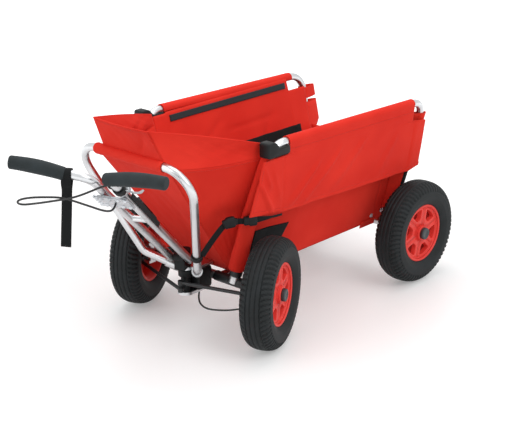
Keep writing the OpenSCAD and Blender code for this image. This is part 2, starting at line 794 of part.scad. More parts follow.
// Tub: floor, board and walls
floor_z = axle_z + beam_d / 2 + seat_gap;
nose_behind = 24;
taper_rear = 200;
taper_front = 105;
tail_out = 20;
nose_end_y = front_y + nose_behind;
taper_rear_y = front_y + taper_rear;
taper_front_y = front_y + taper_front;
tail_y = rear_y + tail_out;
front_foot_half_w = 70;
fold_share = 0.8;
fold_back_share = 0.6;
front_share = 0.4;
wall_in = [-cloth_t, 0, 0];
fold_in = [-cloth_t * fold_share, cloth_t * fold_back_share, 0];
front_in = [-cloth_t * front_share, cloth_t, 0];
panel_back = tube_d / 2 + cloth_t;
front_top = [hoop_half_w - hoop_bend, front_y - hoop_ahead + panel_back, hoop_z - tube_d / 2];
front_foot = [front_foot_half_w, nose_end_y, floor_z];
side_lows = [
    [floor_half_w, tail_y, floor_z],
    [floor_half_w, taper_rear_y, floor_z],
    [nose_half_w, taper_front_y, floor_z],
    [nose_half_w, nose_end_y, floor_z]
];
side_highs = [
    [rim_half_w, tail_y, wall_top_z],
    [rim_half_w, taper_rear_y, wall_top_z],
    [rim_half_w, taper_front_y, wall_top_z],
    [rim_half_w, nose_end_y, wall_top_z]
];
floor_in = cloth_t + seat_gap;
floor_front_y = nose_end_y + floor_in;
floor_rear_y = tail_y - floor_in;
floor_half = [for (p = side_lows) [p.x - floor_in, min(max(p.y, floor_front_y), floor_rear_y)]];
floor_outline = concat(floor_half,
    [for (i = [len(floor_half) - 1 : -1 : 0]) [-floor_half[i].x, floor_half[i].y]]);
cloth_red = [0.78, 0.09, 0.08];

module tub_floor() {
    color(cloth_red)
        translate([0, 0, floor_z])
            linear_extrude(height = cloth_t)
                polygon(floor_outline);
}
module floor_board() {
    color([0.3, 0.3, 0.32])
        translate([0, 0, floor_z + cloth_t])
            linear_extrude(height = board_t)
                polygon([for (p = floor_outline) [p.x * (1 - cloth_t / floor_half_w), p.y]]);
}
module tub_side_left() {
    color(cloth_red)
        ruled_wall(side_lows, side_highs, [wall_in, wall_in, wall_in, fold_in]);
}
module tub_side_right() { mirror([1, 0, 0]) tub_side_left(); }
module tub_corner_left() {
    color(cloth_red)
        ruled_wall([side_lows[3], front_foot], [side_highs[3], front_top], [fold_in, front_in]);
}
module tub_corner_right() { mirror([1, 0, 0]) tub_corner_left(); }
module tub_front() {
    color(cloth_red)
        ruled_wall([front_foot, mirrored(front_foot)], [front_top, mirrored(front_top)],
            [front_in, mirrored(front_in)]);
}
rear_share = (rear_wall_z - floor_z) / (wall_top_z - floor_z);
rear_low = side_lows[0] - [floor_in, 0, 0];
rear_high = mid(side_lows[0], side_highs[0], rear_share) - [floor_in, 0, 0];
rear_in = [0, -cloth_t, 0];
module tub_rear() {
    color(cloth_red)
        ruled_wall([mirrored(rear_low), rear_low], [mirrored(rear_high), rear_high], [rear_in, rear_in]);
}

// Side flap: a sleeve over the top tube and a panel that hangs outside it
sleeve_lip = 0.5;
sleeve_r = tube_d / 2 + seat_gap + cloth_t + sleeve_lip;
sleeve_dir = unit(side_corner_rear - side_corner_front);
flap_front = side_corner_front + sleeve_dir * (cap_len - cap_ahead + seat_gap);
flap_lean_share = 0.19;
flap_hang = unit([-flap_lean_share, 0, -1]);
flap_in = cross(sleeve_dir, flap_hang);
// Corners of the flap: shares of its length and of its depth
flap_shares = [
    [0, 0], [1, 0], [1, 0.21], [1.07, 0.24], [1.07, 0.99], [1.01, 1.04], [0.02, 0.99], [-0.213, 0.91],
    [-0.165, 0.185], [0, 0.16]
];
module flap_left() {
    rear = flap_front + sleeve_dir * flap_len;
    flap_top = flap_front - flap_in * (sleeve_r - sleeve_lip / 2);
    color(cloth_red)
        difference() {
            union() {
                bar(flap_front, rear, sleeve_r);
                multmatrix(columns(sleeve_dir, flap_hang, flap_in, flap_top))
                    linear_extrude(height = cloth_t)
                        polygon([for (s = flap_shares) [s[0] * flap_len, s[1] * flap_drop]]);
            }
            bar(flap_front - sleeve_dir * overrun, rear + sleeve_dir * overrun, tube_d / 2 + seat_gap);
        }
}
module flap_right() { mirror([1, 0, 0]) flap_left(); }

// Front lip: sleeve over the hoop's top bar, free edge that stands up ahead of it, and a gusset to each side
hoop_turn = acos(unit(hoop_corner - hoop_knee) * [-1, 0, 0]);
lip_end_gap = 4;
seam_lap = 2;
lip_sleeve_half = hoop_half_w - hoop_bend * tan(hoop_turn / 2) - lip_end_gap;
module front_lip() {
    root_z = hoop_z + sleeve_r - cloth_t / 2;
    root_y = front_y - hoop_ahead;
    free_y = root_y - lip_ahead;
    left_root = [lip_sleeve_half - lip_end_gap, root_y, root_z];
    left_free = [lip_half_w, free_y, lip_z];
    left_side = [rim_half_w - cloth_t, nose_end_y, wall_top_z + seat_gap];
    lap = unit(left_side - left_root) * seam_lap;
    color(cloth_red)
        difference() {
            union() {
                bar([-lip_sleeve_half, root_y, hoop_z], [lip_sleeve_half, root_y, hoop_z], sleeve_r);
                flat_sheet([left_root, left_free, mirrored(left_free), mirrored(left_root)], cloth_t);
                both_sides()
                    flat_sheet([left_root - lap, left_side, left_free - lap], cloth_t);
            }
            bar([-hoop_half_w, root_y, hoop_z], [hoop_half_w, root_y, hoop_z], tube_d / 2 + seat_gap);
        }
}

chassis_frame();
front_hoop();
side_frame_left();
side_frame_right();
corner_cap_left();
corner_cap_right();
tub_floor();
floor_board();
tub_side_left();
tub_side_right();
tub_corner_left();
tub_corner_right();
tub_front();
tub_rear();
flap_left();
flap_right();
front_lip();
hub_cable();
steering_head();
tie_rod_left();
tie_rod_right();
knuckle_left();
knuckle_right();
drawbar_tubes();
handle_plate();
grip_left();
grip_right();
brake_lever();
lever_cable();
wrist_strap();
rim_front_left();
tyre_front_left();
rim_front_right();
tyre_front_right();
rim_rear_left();
tyre_rear_left();
rim_rear_right();
tyre_rear_right();
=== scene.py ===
import math

import bmesh
import bpy
import numpy as np
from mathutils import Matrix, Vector


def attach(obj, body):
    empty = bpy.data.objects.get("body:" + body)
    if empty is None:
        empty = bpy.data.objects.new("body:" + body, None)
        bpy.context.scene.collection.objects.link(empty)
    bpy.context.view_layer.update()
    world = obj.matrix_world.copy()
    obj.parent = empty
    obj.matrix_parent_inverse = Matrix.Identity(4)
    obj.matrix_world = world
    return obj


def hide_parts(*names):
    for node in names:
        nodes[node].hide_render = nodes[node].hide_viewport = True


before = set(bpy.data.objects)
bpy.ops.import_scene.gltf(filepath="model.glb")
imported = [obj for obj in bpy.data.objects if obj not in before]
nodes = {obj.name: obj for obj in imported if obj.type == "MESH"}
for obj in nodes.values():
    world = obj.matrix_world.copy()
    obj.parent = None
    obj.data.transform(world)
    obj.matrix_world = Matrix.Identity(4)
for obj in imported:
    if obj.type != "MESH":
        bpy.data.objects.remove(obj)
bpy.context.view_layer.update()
scene = bpy.context.scene
print("stage: frame loaded with", len(nodes), "nodes")


# camera at the photograph's place, lens and sensor in millimetres
photoView = {"place": (2.435, -2.795, 1.559), "back": (0.6286, -0.6982, 0.3427), "lens": 96.09, "sensor": 36.0,
             "farthest": 200.0}
camera = bpy.data.objects.new("camera", bpy.data.cameras.new("camera"))
camera.data.lens = photoView["lens"]
camera.data.sensor_width = photoView["sensor"]
camera.data.clip_end = photoView["farthest"]
camera.location = photoView["place"]
camera.rotation_euler = Vector(photoView["back"]).to_track_quat("Z", "Y").to_euler()
scene.collection.objects.link(camera)
scene.camera = camera
scene.view_settings.view_transform = "Standard"


# sRGB hex to the linear values that shaders take
def toLinear(hexText):
    channels = np.array([int(hexText[i:i + 2], 16) for i in (1, 3, 5)]) / 255
    linear = np.where(channels <= 0.04045, channels / 12.92, ((channels + 0.055) / 1.055) ** 2.4)
    return (*linear.tolist(), 1.0)


# one node with its settings (sockets by name or number, or plain attributes) and its incoming links
def addNode(tree, kind, settings=None, links=None):
    node = tree.nodes.new(kind)
    for key, value in (settings or {}).items():
        if isinstance(key, int) or key in node.inputs:
            node.inputs[key].default_value = value
        else:
            setattr(node, key, value)
    for key, source in (links or {}).items():
        tree.links.new(source, node.inputs[key])
    return node


# a material with one shader, its output and its coordinates
def startMaterial(name, settings):
    material = bpy.data.materials.new(name)
    material.use_nodes = True
    tree = material.node_tree
    tree.nodes.clear()
    shader = addNode(tree, "ShaderNodeBsdfPrincipled", settings)
    addNode(tree, "ShaderNodeOutputMaterial", None, {"Surface": shader.outputs["BSDF"]})
    return material, tree, shader, addNode(tree, "ShaderNodeTexCoord")


# noise over the object's own coordinates: its scale is one over its size, given in millimetres
def addNoise(tree, place, size, detail, roughness=0.5):
    settings = {"Scale": 1000 / size, "Detail": detail, "Roughness": roughness}
    return addNode(tree, "ShaderNodeTexNoise", settings, {"Vector": place.outputs["Object"]}).outputs["Fac"]


# ribs over the cloth's own lengths, a width in millimetres apart; at scale one they repeat every pi / 10 metres
def addRibs(tree, place, size, way, distortion=0.0):
    settings = {"Scale": 1000 * math.pi / 10 / size, "bands_direction": way, "Distortion": distortion}
    return addNode(tree, "ShaderNodeTexWave", settings, {"Vector": place.outputs["UV"]}).outputs["Fac"]


# base colour between two close tones, mixed as a pattern goes from the first to the last value of a span
def mixTones(tree, shader, pattern, span, dark, light):
    tone = addNode(tree, "ShaderNodeMapRange", {"From Min": span[0], "From Max": span[1]}, {"Value": pattern})
    colour = addNode(tree, "ShaderNodeMix", {"data_type": "RGBA", 6: toLinear(dark), 7: toLinear(light)},
                     {"Factor": tone.outputs["Result"]})
    tree.links.new(colour.outputs[2], shader.inputs["Base Color"])


# bumps laid one on another, each a pattern with its strength and its depth in metres
def addBumps(tree, shader, *bumps):
    below = {}
    for pattern, strength, depth in bumps:
        bump = addNode(tree, "ShaderNodeBump", {"Strength": strength, "Distance": depth}, {"Height": pattern, **below})
        below = {"Normal": bump.outputs["Normal"]}
    tree.links.new(below["Normal"], shader.inputs["Normal"])


# coated polyester weave: soft, nearly matt, a pale sheen at grazing angles, slow creases from packing; threads are
# about 0.5 mm apart, and drawn at 2.4 mm so that they show in the picture
def redPolyester(name, dark, light):
    material, tree, shader, place = startMaterial(
        name, {"Roughness": 0.75, "Sheen Weight": 0.015, "Sheen Roughness": 0.5, "Specular IOR Level": 0.12})
    warp, weft = [addRibs(tree, place, size=2.4, way=way) for way in "XY"]
    weave = addNode(tree, "ShaderNodeMath", {"operation": "MULTIPLY"}, {0: warp, 1: weft}).outputs["Value"]
    creases = addNoise(tree, place, size=90, detail=3.0, roughness=0.45)
    mixTones(tree, shader, addNoise(tree, place, size=160, detail=2.0), (0.3, 0.7), dark, light)
    addBumps(tree, shader, (weave, 0.25, 0.0004), (creases, 0.35, 0.006))
    return material


# nylon webbing: matt, ribs across the band about every 2 mm
def blackWebbing(name, hexText):
    material, tree, shader, place = startMaterial(
        name, {"Base Color": toLinear(hexText), "Roughness": 0.78, "Sheen Weight": 0.03, "Specular IOR Level": 0.15})
    addBumps(tree, shader, (addRibs(tree, place, size=2.2, way="Y", distortion=0.6), 0.6, 0.0005))
    return material


# moulded or drawn finishes: one colour in two close tones, grain as bump, roughness that wanders a little; grain and
# patches are sizes in millimetres, roughness a span, and bump a strength with a depth in metres
def grainFinish(name, dark, light, grain, patch, roughness, bump, metallic=0.0, specular=0.5):
    material, tree, shader, place = startMaterial(name, {"Metallic": metallic, "Specular IOR Level": specular})
    patches = addNoise(tree, place, patch, detail=3.0)
    mixTones(tree, shader, patches, (0.35, 0.65), dark, light)
    rough = addNode(tree, "ShaderNodeMapRange", {"To Min": roughness[0], "To Max": roughness[1]}, {"Value": patches})
    tree.links.new(rough.outputs["Result"], shader.inputs["Roughness"])
    addBumps(tree, shader, (addNoise(tree, place, grain, detail=2.0), *bump))
    return material


finishes = {
    "redCloth": redPolyester("woven polyester red", "#d92c20", "#e63628"),
    # the same cloth a shade darker for the tub's floor: painted shade inside the tub
    "redClothShaded": redPolyester("woven polyester red, painted shade", "#cf281d", "#da3024"),
    "webbing": blackWebbing("nylon webbing black", "#17191a"),
    "greyBand": blackWebbing("nylon band dark grey", "#30383b"),
    # drawn and polished tube: bright, a soft streaked highlight
    "tube": grainFinish("polished aluminium tube", "#c9cbcd", "#d8dadc", 1.6, 60, (0.22, 0.36), (0.06, 0.0002),
                        metallic=1.0),
    # cast and machined aluminium: satin, fine pores
    "casting": grainFinish("cast aluminium", "#a9acaf", "#bcbfc2", 1.2, 30, (0.34, 0.5), (0.25, 0.0003), metallic=1.0),
    # powder-coated steel: black, faint orange-peel
    "coated": grainFinish("powder coated steel", "#16181a", "#212426", 2.2, 40, (0.36, 0.5), (0.3, 0.0003),
                          specular=0.45),
    # spun polyester thread: a shade darker than the cloth
    "thread": grainFinish("polyester thread red", "#c4281d", "#d03024", 1.0, 20, (0.6, 0.7), (0.3, 0.0002)),
    # bright zinc plate on steel: cool, slightly cloudy
    "zinc": grainFinish("zinc plated steel", "#b4b8bc", "#c9ccd0", 3.0, 45, (0.25, 0.38), (0.04, 0.0002),
                        metallic=1.0),
    # moulded polypropylene: semi-gloss red with a faint orange-peel
    "rim": grainFinish("moulded polypropylene red", "#e23a32", "#ee463d", 3.0, 40, (0.38, 0.5), (0.12, 0.0003),
                       specular=0.3),
    # painted shade: the rim's plastic darkened, on a thin plate deep in its windows, where they are in shade
    "rimPaintedShade": grainFinish("moulded polypropylene red, painted shade", "#8a1812", "#961e17", 3.0, 40, (0.5, 0.62),
                             (0.12, 0.0003), specular=0.2),
    # vulcanised rubber: dark grey, dusty in the grooves, no clear highlight
    "tyre": grainFinish("vulcanised rubber", "#161a1b", "#202426", 1.4, 35, (0.58, 0.72), (0.35, 0.0004),
                        specular=0.28),
    # closed-cell foam sleeve: matt, pitted by cells under a millimetre, drawn at 1.5 mm to show
    "foam": grainFinish("nitrile foam", "#1d2426", "#283033", 1.5, 30, (0.66, 0.8), (0.45, 0.0004), specular=0.35),
    # moulded nylon: black, spark-eroded grain
    "nylon": grainFinish("moulded nylon black", "#101213", "#191b1c", 1.1, 25, (0.46, 0.58), (0.3, 0.0003),
                         specular=0.22),
    "cable": grainFinish("vinyl cable jacket", "#141516", "#1c1e1f", 2.0, 30, (0.38, 0.48), (0.1, 0.0002)),
    "board": grainFinish("polyethylene panel", "#2c3032", "#383d40", 2.4, 50, (0.5, 0.64), (0.5, 0.0005)),
    "hubCap": grainFinish("moulded nylon grey", "#2c3235", "#383f42", 1.2, 20, (0.4, 0.52), (0.25, 0.0003)),
}
print("stage: materials made,", len(finishes))


# quads of a grid of points, with the far edges joined to the near ones where asked
def gridQuads(rows, cols, loopRows=False, loopCols=False):
    index = np.arange(rows * cols).reshape(rows, cols)
    if loopRows:
        index = np.vstack([index, index[:1]])
    if loopCols:
        index = np.hstack([index, index[:, :1]])
    return np.stack([index[:-1, :-1], index[:-1, 1:], index[1:, 1:], index[1:, :-1]], -1).reshape(-1, 4)


# running lengths over a grid in metres: first along its columns, then along its rows
def gridMetres(grid):
    stepsU = np.linalg.norm(np.diff(grid, axis=1), axis=2).mean(0)
    stepsV = np.linalg.norm(np.diff(grid, axis=0), axis=2).mean(1)
    u = np.concatenate([[0], np.cumsum(stepsU)])
    v = np.concatenate([[0], np.cumsum(stepsV)])
    return np.stack(np.meshgrid(u, v), -1)


# a part is points, quads and a UV in metres for each quad's corner
def gridPart(grid, loopRows=False, loopCols=False):
    rows, cols = grid.shape[:2]
    wide = np.concatenate([grid, grid[:, :1]], 1) if loopCols else grid
    wide = np.concatenate([wide, wide[:1]], 0) if loopRows else wide
    metres = gridMetres(wide).reshape(-1, 2)
    return grid.reshape(-1, 3), gridQuads(rows, cols, loopRows, loopCols), metres[gridQuads(*wide.shape[:2])]


# several parts as one: each part's quads count on from the points before it
def joinParts(parts):
    offsets = np.cumsum([0] + [len(p[0]) for p in parts[:-1]])
    return (np.concatenate([p[0] for p in parts]), np.concatenate([p[1] + o for p, o in zip(parts, offsets)]),
            np.concatenate([p[2] for p in parts]))


mirrorX = np.array([-1.0, 1.0, 1.0])
upward = np.array([0.0, 0.0, 1.0])


# the other side's part: x changes sign, and quads run the other way round
def mirrorPart(part):
    return part[0] * mirrorX, part[1][:, ::-1], part[2][:, ::-1]


# shells that were turned or mirrored get their faces pointed outwards
def faceOutwards(mesh):
    work = bmesh.new()
    work.from_mesh(mesh)
    bmesh.ops.recalc_face_normals(work, faces=work.faces)
    work.to_mesh(mesh)
    work.free()


# a mesh piece from a part; points that fall together, such as poles, are welded
def makePiece(name, part, finish, body, replaced=(), thickness=0.0, outward=False):
    points, quads, uvs = part
    mesh = bpy.data.meshes.new(name)
    mesh.vertices.add(len(points))
    mesh.vertices.foreach_set("co", np.ascontiguousarray(points, np.float32).ravel())
    mesh.loops.add(quads.size)
    mesh.loops.foreach_set("vertex_index", np.ascontiguousarray(quads, np.int32).ravel())
    mesh.polygons.add(len(quads))
    mesh.polygons.foreach_set("loop_start", np.arange(0, quads.size, 4, dtype=np.int32))
    mesh.update(calc_edges=True)
    mesh.uv_layers.new(name="metres").data.foreach_set("uv", np.ascontiguousarray(uvs, np.float32).ravel())
    work = bmesh.new()
    work.from_mesh(mesh)
    bmesh.ops.remove_doubles(work, verts=work.verts, dist=1e-6)
    work.to_mesh(mesh)
    work.free()
    mesh.validate()
    mesh.polygons.foreach_set("use_smooth", np.ones(len(mesh.polygons), bool))
    mesh.materials.append(finishes[finish])
    if outward:
        faceOutwards(mesh)
    piece = bpy.data.objects.new(name, mesh)
    scene.collection.objects.link(piece)
    if thickness:
        wall = piece.modifiers.new("thickness", "SOLIDIFY")
        wall.thickness = thickness
        wall.offset = 0.0
    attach(piece, body)
    if replaced:
        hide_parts(*replaced)
    return piece


# left piece as made, right one mirrored; a node's name gets the side's name at its end
def bothSides(name, part, finish, node=None, thickness=0.0, outward=False):
    return [makePiece(name + side, sidePart, finish, "chassis", [node + side.lower()] if node else [],
                      thickness, outward)
            for side, sidePart in (("Left", part), ("Right", mirrorPart(part)))]


def declareCloth(grids):
    area, width, length = 0.0, 0.0, 0.0
    for grid in grids:
        a, b = np.diff(grid, axis=1)[:-1], np.diff(grid, axis=0)[:, :-1]
        area += float(np.linalg.norm(np.cross(a, b), axis=2).sum())
        width += float(np.linalg.norm(np.diff(grid, axis=0), axis=2).sum(0).max())
        length = max(length, float(np.linalg.norm(np.diff(grid, axis=1), axis=2).sum(1).max()))
    width = max(width, area / length * 1.001)


# from zero to one and level at both ends: three squares less two cubes
def smoothStep(x):
    t = np.clip(x, 0, 1)
    return t * t * (3 - 2 * t)


# vectors divided by their lengths
def unit(v):
    return v / np.linalg.norm(v, axis=-1, keepdims=True)


# even angles once round
def roundAngles(count):
    return np.linspace(0, 2 * math.pi, count, endpoint=False)


# points from a to b at even shares
def straightEdge(a, b, count):
    share = np.linspace(0, 1, count)[:, None]
    return np.asarray(a, float) * (1 - share) + np.asarray(b, float) * share


# running lengths along a path, from zero
def runLengths(path):
    return np.concatenate([[0], np.cumsum(np.linalg.norm(np.diff(path, axis=0), axis=1))])


# points of a path at given running lengths, straight between its own points
def pointsAt(path, lengths):
    run = runLengths(path)
    return np.stack([np.interp(lengths, run, path[:, k]) for k in range(path.shape[1])], -1)


# points at even steps along a path
def evenSteps(path, samples):
    return pointsAt(path, np.linspace(0, runLengths(path)[-1], samples))


# a curve through given points: a smooth cubic between each pair, sampled evenly
def curveThrough(points, samples):
    p = np.asarray(points, float)
    padded = np.concatenate([[2 * p[0] - p[1]], p, [2 * p[-1] - p[-2]]])
    t = np.linspace(0, len(p) - 1, samples)
    i = np.minimum(t.astype(int), len(p) - 2)
    f = (t - i)[:, None]
    a, b, c, d = padded[i], padded[i + 1], padded[i + 2], padded[i + 3]
    return (2 * b + (c - a) * f + (2 * a - 5 * b + 4 * c - d) * f ** 2 + (3 * b - a - 3 * c + d) * f ** 3) / 2


# both ends of a tube of rings drawn in to their middles
def closeEnds(grid):
    ends = grid.mean(1, keepdims=True).repeat(grid.shape[1], 1)
    return np.concatenate([ends[:1], grid, ends[-1:]])


# a closed profile of (side, up) points carried along a path; up is kept as near as it can be to the one given
def carryProfile(path, profile, up, capped=True):
    ahead = unit(np.gradient(path, axis=0))
    side = unit(np.cross(ahead, np.broadcast_to(np.asarray(up, float), path.shape)))
    lift = np.cross(side, ahead)
    rings = profile[None] if profile.ndim == 2 else profile
    grid = path[:, None] + rings[..., :1] * side[:, None] + rings[..., 1:] * lift[:, None]
    return gridPart(closeEnds(grid) if capped else grid, loopCols=True)


# a circle's points: cosine and sine of even angles
def circleProfile(radius, sides):
    a = roundAngles(sides)
    return np.stack([np.cos(a), np.sin(a)], -1) * radius


# cosine or sine drawn towards a square's: the power of two over the given one, with its sign kept
def squarer(x, power):
    return np.sign(x) * np.abs(x) ** (2 / power)


# a flat band's section: a rounded rectangle from a superellipse
def bandProfile(width, height, sides, power=6.0):
    a = roundAngles(sides)
    return np.stack([squarer(np.cos(a), power) * width / 2, squarer(np.sin(a), power) * height / 2], -1)


# a profile of (radius, along) points turned about an axis through a point; steep axes take x for the first side
def turnProfile(profile, centre, axis, sides):
    axis = unit(np.asarray(axis, float))
    side = unit(np.cross(axis, upward if abs(axis[2]) < 0.9 else [1.0, 0.0, 0.0]))
    other = np.cross(axis, side)
    a = roundAngles(sides)
    ring = np.cos(a)[:, None] * side + np.sin(a)[:, None] * other
    profile = np.asarray(profile, float)
    grid = np.asarray(centre, float) + profile[:, None, :1] * ring[None] + profile[:, None, 1:] * axis
    return gridPart(grid, loopCols=True)


# a rounded block: a superellipsoid on two angles, laid along three axes
def roundedBlock(centre, axes, halves, power=5.0, rows=16, cols=28):
    lat = np.linspace(-math.pi / 2, math.pi / 2, rows)[:, None]
    lon = roundAngles(cols)[None]
    level = squarer(np.cos(lat), power)
    local = np.stack(np.broadcast_arrays(level * squarer(np.cos(lon), power), level * squarer(np.sin(lon), power),
                                         squarer(np.sin(lat), power)), -1) * np.asarray(halves)
    return gridPart(np.asarray(centre) + local @ np.asarray(axes, float), loopCols=True)


# a closed outline at even steps, its corners rounded by running means round the loop, twice over
def roundedLoop(corners, count, soft):
    loop = np.asarray(corners + corners[:1], float)
    points = pointsAt(loop, np.linspace(0, runLengths(loop)[-1], count, endpoint=False))
    for _ in range(2):
        points = np.mean([np.roll(points, k, 0) for k in range(-soft, soft + 1)], 0)
    return points


# CAD nodes that keep their own shape take their finishes
nodeFinishes = {
    "tube": ["chassis_frame", "front_hoop", "side_frame_left", "side_frame_right", "drawbar_tubes"],
    "coated": ["tie_rod_left", "tie_rod_right", "knuckle_left", "knuckle_right"],
    "zinc": ["handle_plate"],
    "nylon": ["steering_head"],
    "board": ["floor_board"],
}
for finish, names in nodeFinishes.items():
    for name in names:
        data = nodes[name].data
        data.materials.clear()
        data.materials.append(finishes[finish])


# brake cables on their routes: a smooth curve with a round section
cableRoutes = {
    "leverCable": {"body": "drawbar", "node": "lever_cable", "points": [
        (0.183, -0.7958, 0.55), (0.1844, -0.8002, 0.5538), (0.182, -0.818, 0.558), (0.162, -0.846, 0.546),
        (0.14, -0.876, 0.535), (0.116, -0.922, 0.532), (0.1011, -0.955, 0.532), (0.0884, -0.9794, 0.5325),
        (0.083, -0.9843, 0.5336), (0.0757, -0.985, 0.5347), (0.0694, -0.9814, 0.5358), (0.0665, -0.9747, 0.5369),
        (0.068, -0.9676, 0.538), (0.0791, -0.9469, 0.539), (0.0974, -0.9251, 0.5385), (0.124, -0.892, 0.534),
        (0.154, -0.848, 0.512), (0.162, -0.808, 0.491), (0.162, -0.781, 0.483), (0.1577, -0.7661, 0.4909),
        (0.1565, -0.7632, 0.4948)]},
    "hubCable": {"body": "chassis", "node": "hub_cable", "points": [
        (0.016, -0.352, 0.1073), (0.016, -0.352, 0.102), (0.019, -0.357, 0.093), (0.04, -0.372, 0.083),
        (0.071, -0.375, 0.078), (0.12, -0.36, 0.083), (0.165, -0.342, 0.095), (0.203, -0.324, 0.106),
        (0.212, -0.32, 0.114), (0.212, -0.32, 0.119)]},
}
cableSize = {"diameter": 0.005, "samples": 120, "sides": 12, "fineSamples": 400, "evenSamples": 160, "easing": 12,
             "up": (0.31, 0.17, 0.93)}


# a stiff cable has no sharp bend: each inner point moves half way to the middle of its neighbours, a few times over
def easedPath(points):
    path = evenSteps(curveThrough(points, cableSize["fineSamples"]), cableSize["evenSamples"])
    for _ in range(cableSize["easing"]):
        path = np.concatenate([path[:1], path[1:-1] / 2 + (path[:-2] + path[2:]) / 4, path[-1:]])
    return evenSteps(path, cableSize["samples"])


for name, route in cableRoutes.items():
    path = easedPath(route["points"])
    part = carryProfile(path, circleProfile(cableSize["diameter"] / 2, cableSize["sides"]), cableSize["up"])
    piece = makePiece(name, part, "cable", route["body"], [route["node"]])
print("stage: cables laid")


# wheels: places and axes as the wagon stands, outboard side along the axis
steer = math.radians(22.5)
across = np.array([math.cos(steer), math.sin(steer), 0.0])
heading = np.array([math.sin(steer), -math.cos(steer), 0.0])
sideways = np.array([1.0, 0.0, 0.0])
wheels = {
    "FrontLeft": {"node": "front_left", "centre": (0.236087, -0.310908, 0.15), "out": across, "turn": 0.85},
    "FrontRight": {"node": "front_right", "centre": (-0.236087, -0.320092, 0.15), "out": -across, "turn": 0.7},
    "RearLeft": {"node": "rear_left", "centre": (0.237, 0.3155, 0.15), "out": sideways, "turn": 0.82},
    "RearRight": {"node": "rear_right", "centre": (-0.237, 0.3155, 0.15), "out": -sideways, "turn": 0.9},
}
tyreForm = {"radius": 0.15, "flange": 0.0863, "halfWidth": 0.0425, "waist": 0.42, "power": 2.65, "bead": 0.79,
            "footWidth": 0.64, "footDrop": 0.004, "around": 384, "crown": 58, "wall": 12, "lugs": 64, "treadFrom": 0.5,
            "treadFull": 0.7}
groove = {"middles": (-0.0185, -0.0065, 0.0065, 0.0185), "half": 0.0008, "edge": 0.0011, "depth": 0.0032,
          "zigzag": 0.0014}
lug = {"depth": 0.0036, "skew": 22, "stagger": 0.25, "half": 0.13, "edge": 0.09, "from": 0.0215, "ramp": 0.002,
       "lowest": 0.62, "inwards": 0.6}
wallRings = {"at": (0.30, 0.55), "wide": 0.02, "high": 0.0006, "highest": 1.35}


# wheel frame: outboard axis, level forward, up
def wheelFrame(wheel):
    return wheel["out"], np.cross(upward, wheel["out"]), upward


# tyre skin: half width w and height h of a superellipse from the widest point to the crown, below it a bead that
# draws in by a square law; grooves and shoulder lugs are sunk from the crown by smooth steps of w and of the angle
def tyreGrid(wheel):
    f = tyreForm
    tall = f["radius"] - f["flange"]
    a = np.linspace(0, math.pi / 2, f["crown"])
    wUp = f["halfWidth"] * np.cos(a) ** (2 / f["power"])
    hUp = tall * (f["waist"] + (1 - f["waist"]) * np.sin(a) ** (2 / f["power"]))
    t = np.linspace(1, 0, f["wall"], endpoint=False)
    wLow = f["halfWidth"] * (1 - (1 - f["bead"]) * t ** 2)
    hLow = tall * f["waist"] * (1 - t)
    wHalf = np.concatenate([[f["halfWidth"] * f["footWidth"]], wLow, wUp])
    hHalf = np.concatenate([[-f["footDrop"]], hLow, hUp])
    w = np.concatenate([wHalf, -wHalf[-2::-1]])[:, None]
    h = np.concatenate([hHalf, hHalf[-2::-1]])[:, None]
    outboard, high = np.sign(w), h / tall
    angle = roundAngles(f["around"])[None]
    count = angle * f["lugs"] / (2 * math.pi)
    zigzag = groove["zigzag"] * np.abs((count % 1) * 2 - 1)
    sink = np.zeros((len(w), f["around"]))
    for middle in groove["middles"]:
        off = (np.abs(w - middle - zigzag) - groove["half"]) / groove["edge"]
        sink = np.maximum(sink, groove["depth"] * (1 - smoothStep(off)))
    phase = (count + outboard * lug["stagger"] + np.abs(w) * lug["skew"]) % 1
    gap = 1 - smoothStep((np.abs(phase - 0.5) - lug["half"]) / lug["edge"])
    shoulder = smoothStep((np.abs(w) - lug["from"]) / lug["ramp"]) * (h > tall * lug["lowest"])
    sink = np.maximum(sink, lug["depth"] * gap * shoulder)
    rings = wallRings["high"] * sum(np.exp(-((high - at) / wallRings["wide"]) ** 2) for at in wallRings["at"])
    lower = (h <= tall * f["waist"] * wallRings["highest"])
    tread = smoothStep((high - f["treadFrom"]) / (f["treadFull"] - f["treadFrom"]))
    radius = f["flange"] + h - sink * tread
    wide = w + outboard * rings * lower - outboard * sink * shoulder * lug["inwards"]
    out, forward, up = wheelFrame(wheel)
    turned = (angle + wheel["turn"])[..., None]
    ring = np.cos(turned) * forward + np.sin(turned) * up
    return np.asarray(wheel["centre"]) + radius[..., None] * ring + wide[..., None] * out


for name, wheel in wheels.items():
    makePiece("tyre" + name, gridPart(tyreGrid(wheel)[::-1], loopCols=True), "tyre", "wheel_" + wheel["node"],
              ["tyre_" + wheel["node"]])
print("stage: tyres made")


# rim: a turned barrel with rounded flanges, and a web of sectors; each sector runs from a sunk floor up the wall of
# a rounded three-sided window, and by rays from the window's middle out to the sector's own edges
rimForm = {"outer": 0.0858, "lip": 0.032, "lipRound": 0.0045, "seat": 0.0742, "web": 0.0245, "floor": 0.0095,
           "back": 0.0078, "hub": 0.0222, "hubEnd": 0.0328, "hubRound": 0.003, "hubBack": 0.0061, "bore": 0.0062,
           "windows": 6, "windowIn": 0.0405, "windowOut": 0.0692, "spoke": 0.0132, "middle": 0.0565,
           "overlap": 0.001, "curl": 0.4, "bed": 0.0773, "bedHalf": 0.0235, "fillet": (0.0012, 0.0014),
           "spread": 0.62, "widest": 0.9, "floorShare": 0.95, "floorEdge": 0.0012, "webShares": (0.04, 0.1),
           "webEdges": (0.0018, 0.0004),
           "inner": [(0.077, 0.0278), (0.0754, 0.0263), (0.073, 0.0239), (0.0732, 0.0), (0.0742, -0.028)]}
# a thin plate over each window's floor that carries painted shade
shadePlate = {"shares": (0.96, 0.975, 0.96), "heights": np.array([0.0001, 0.0001, 0.0006, 0.0011, 0.0011])}


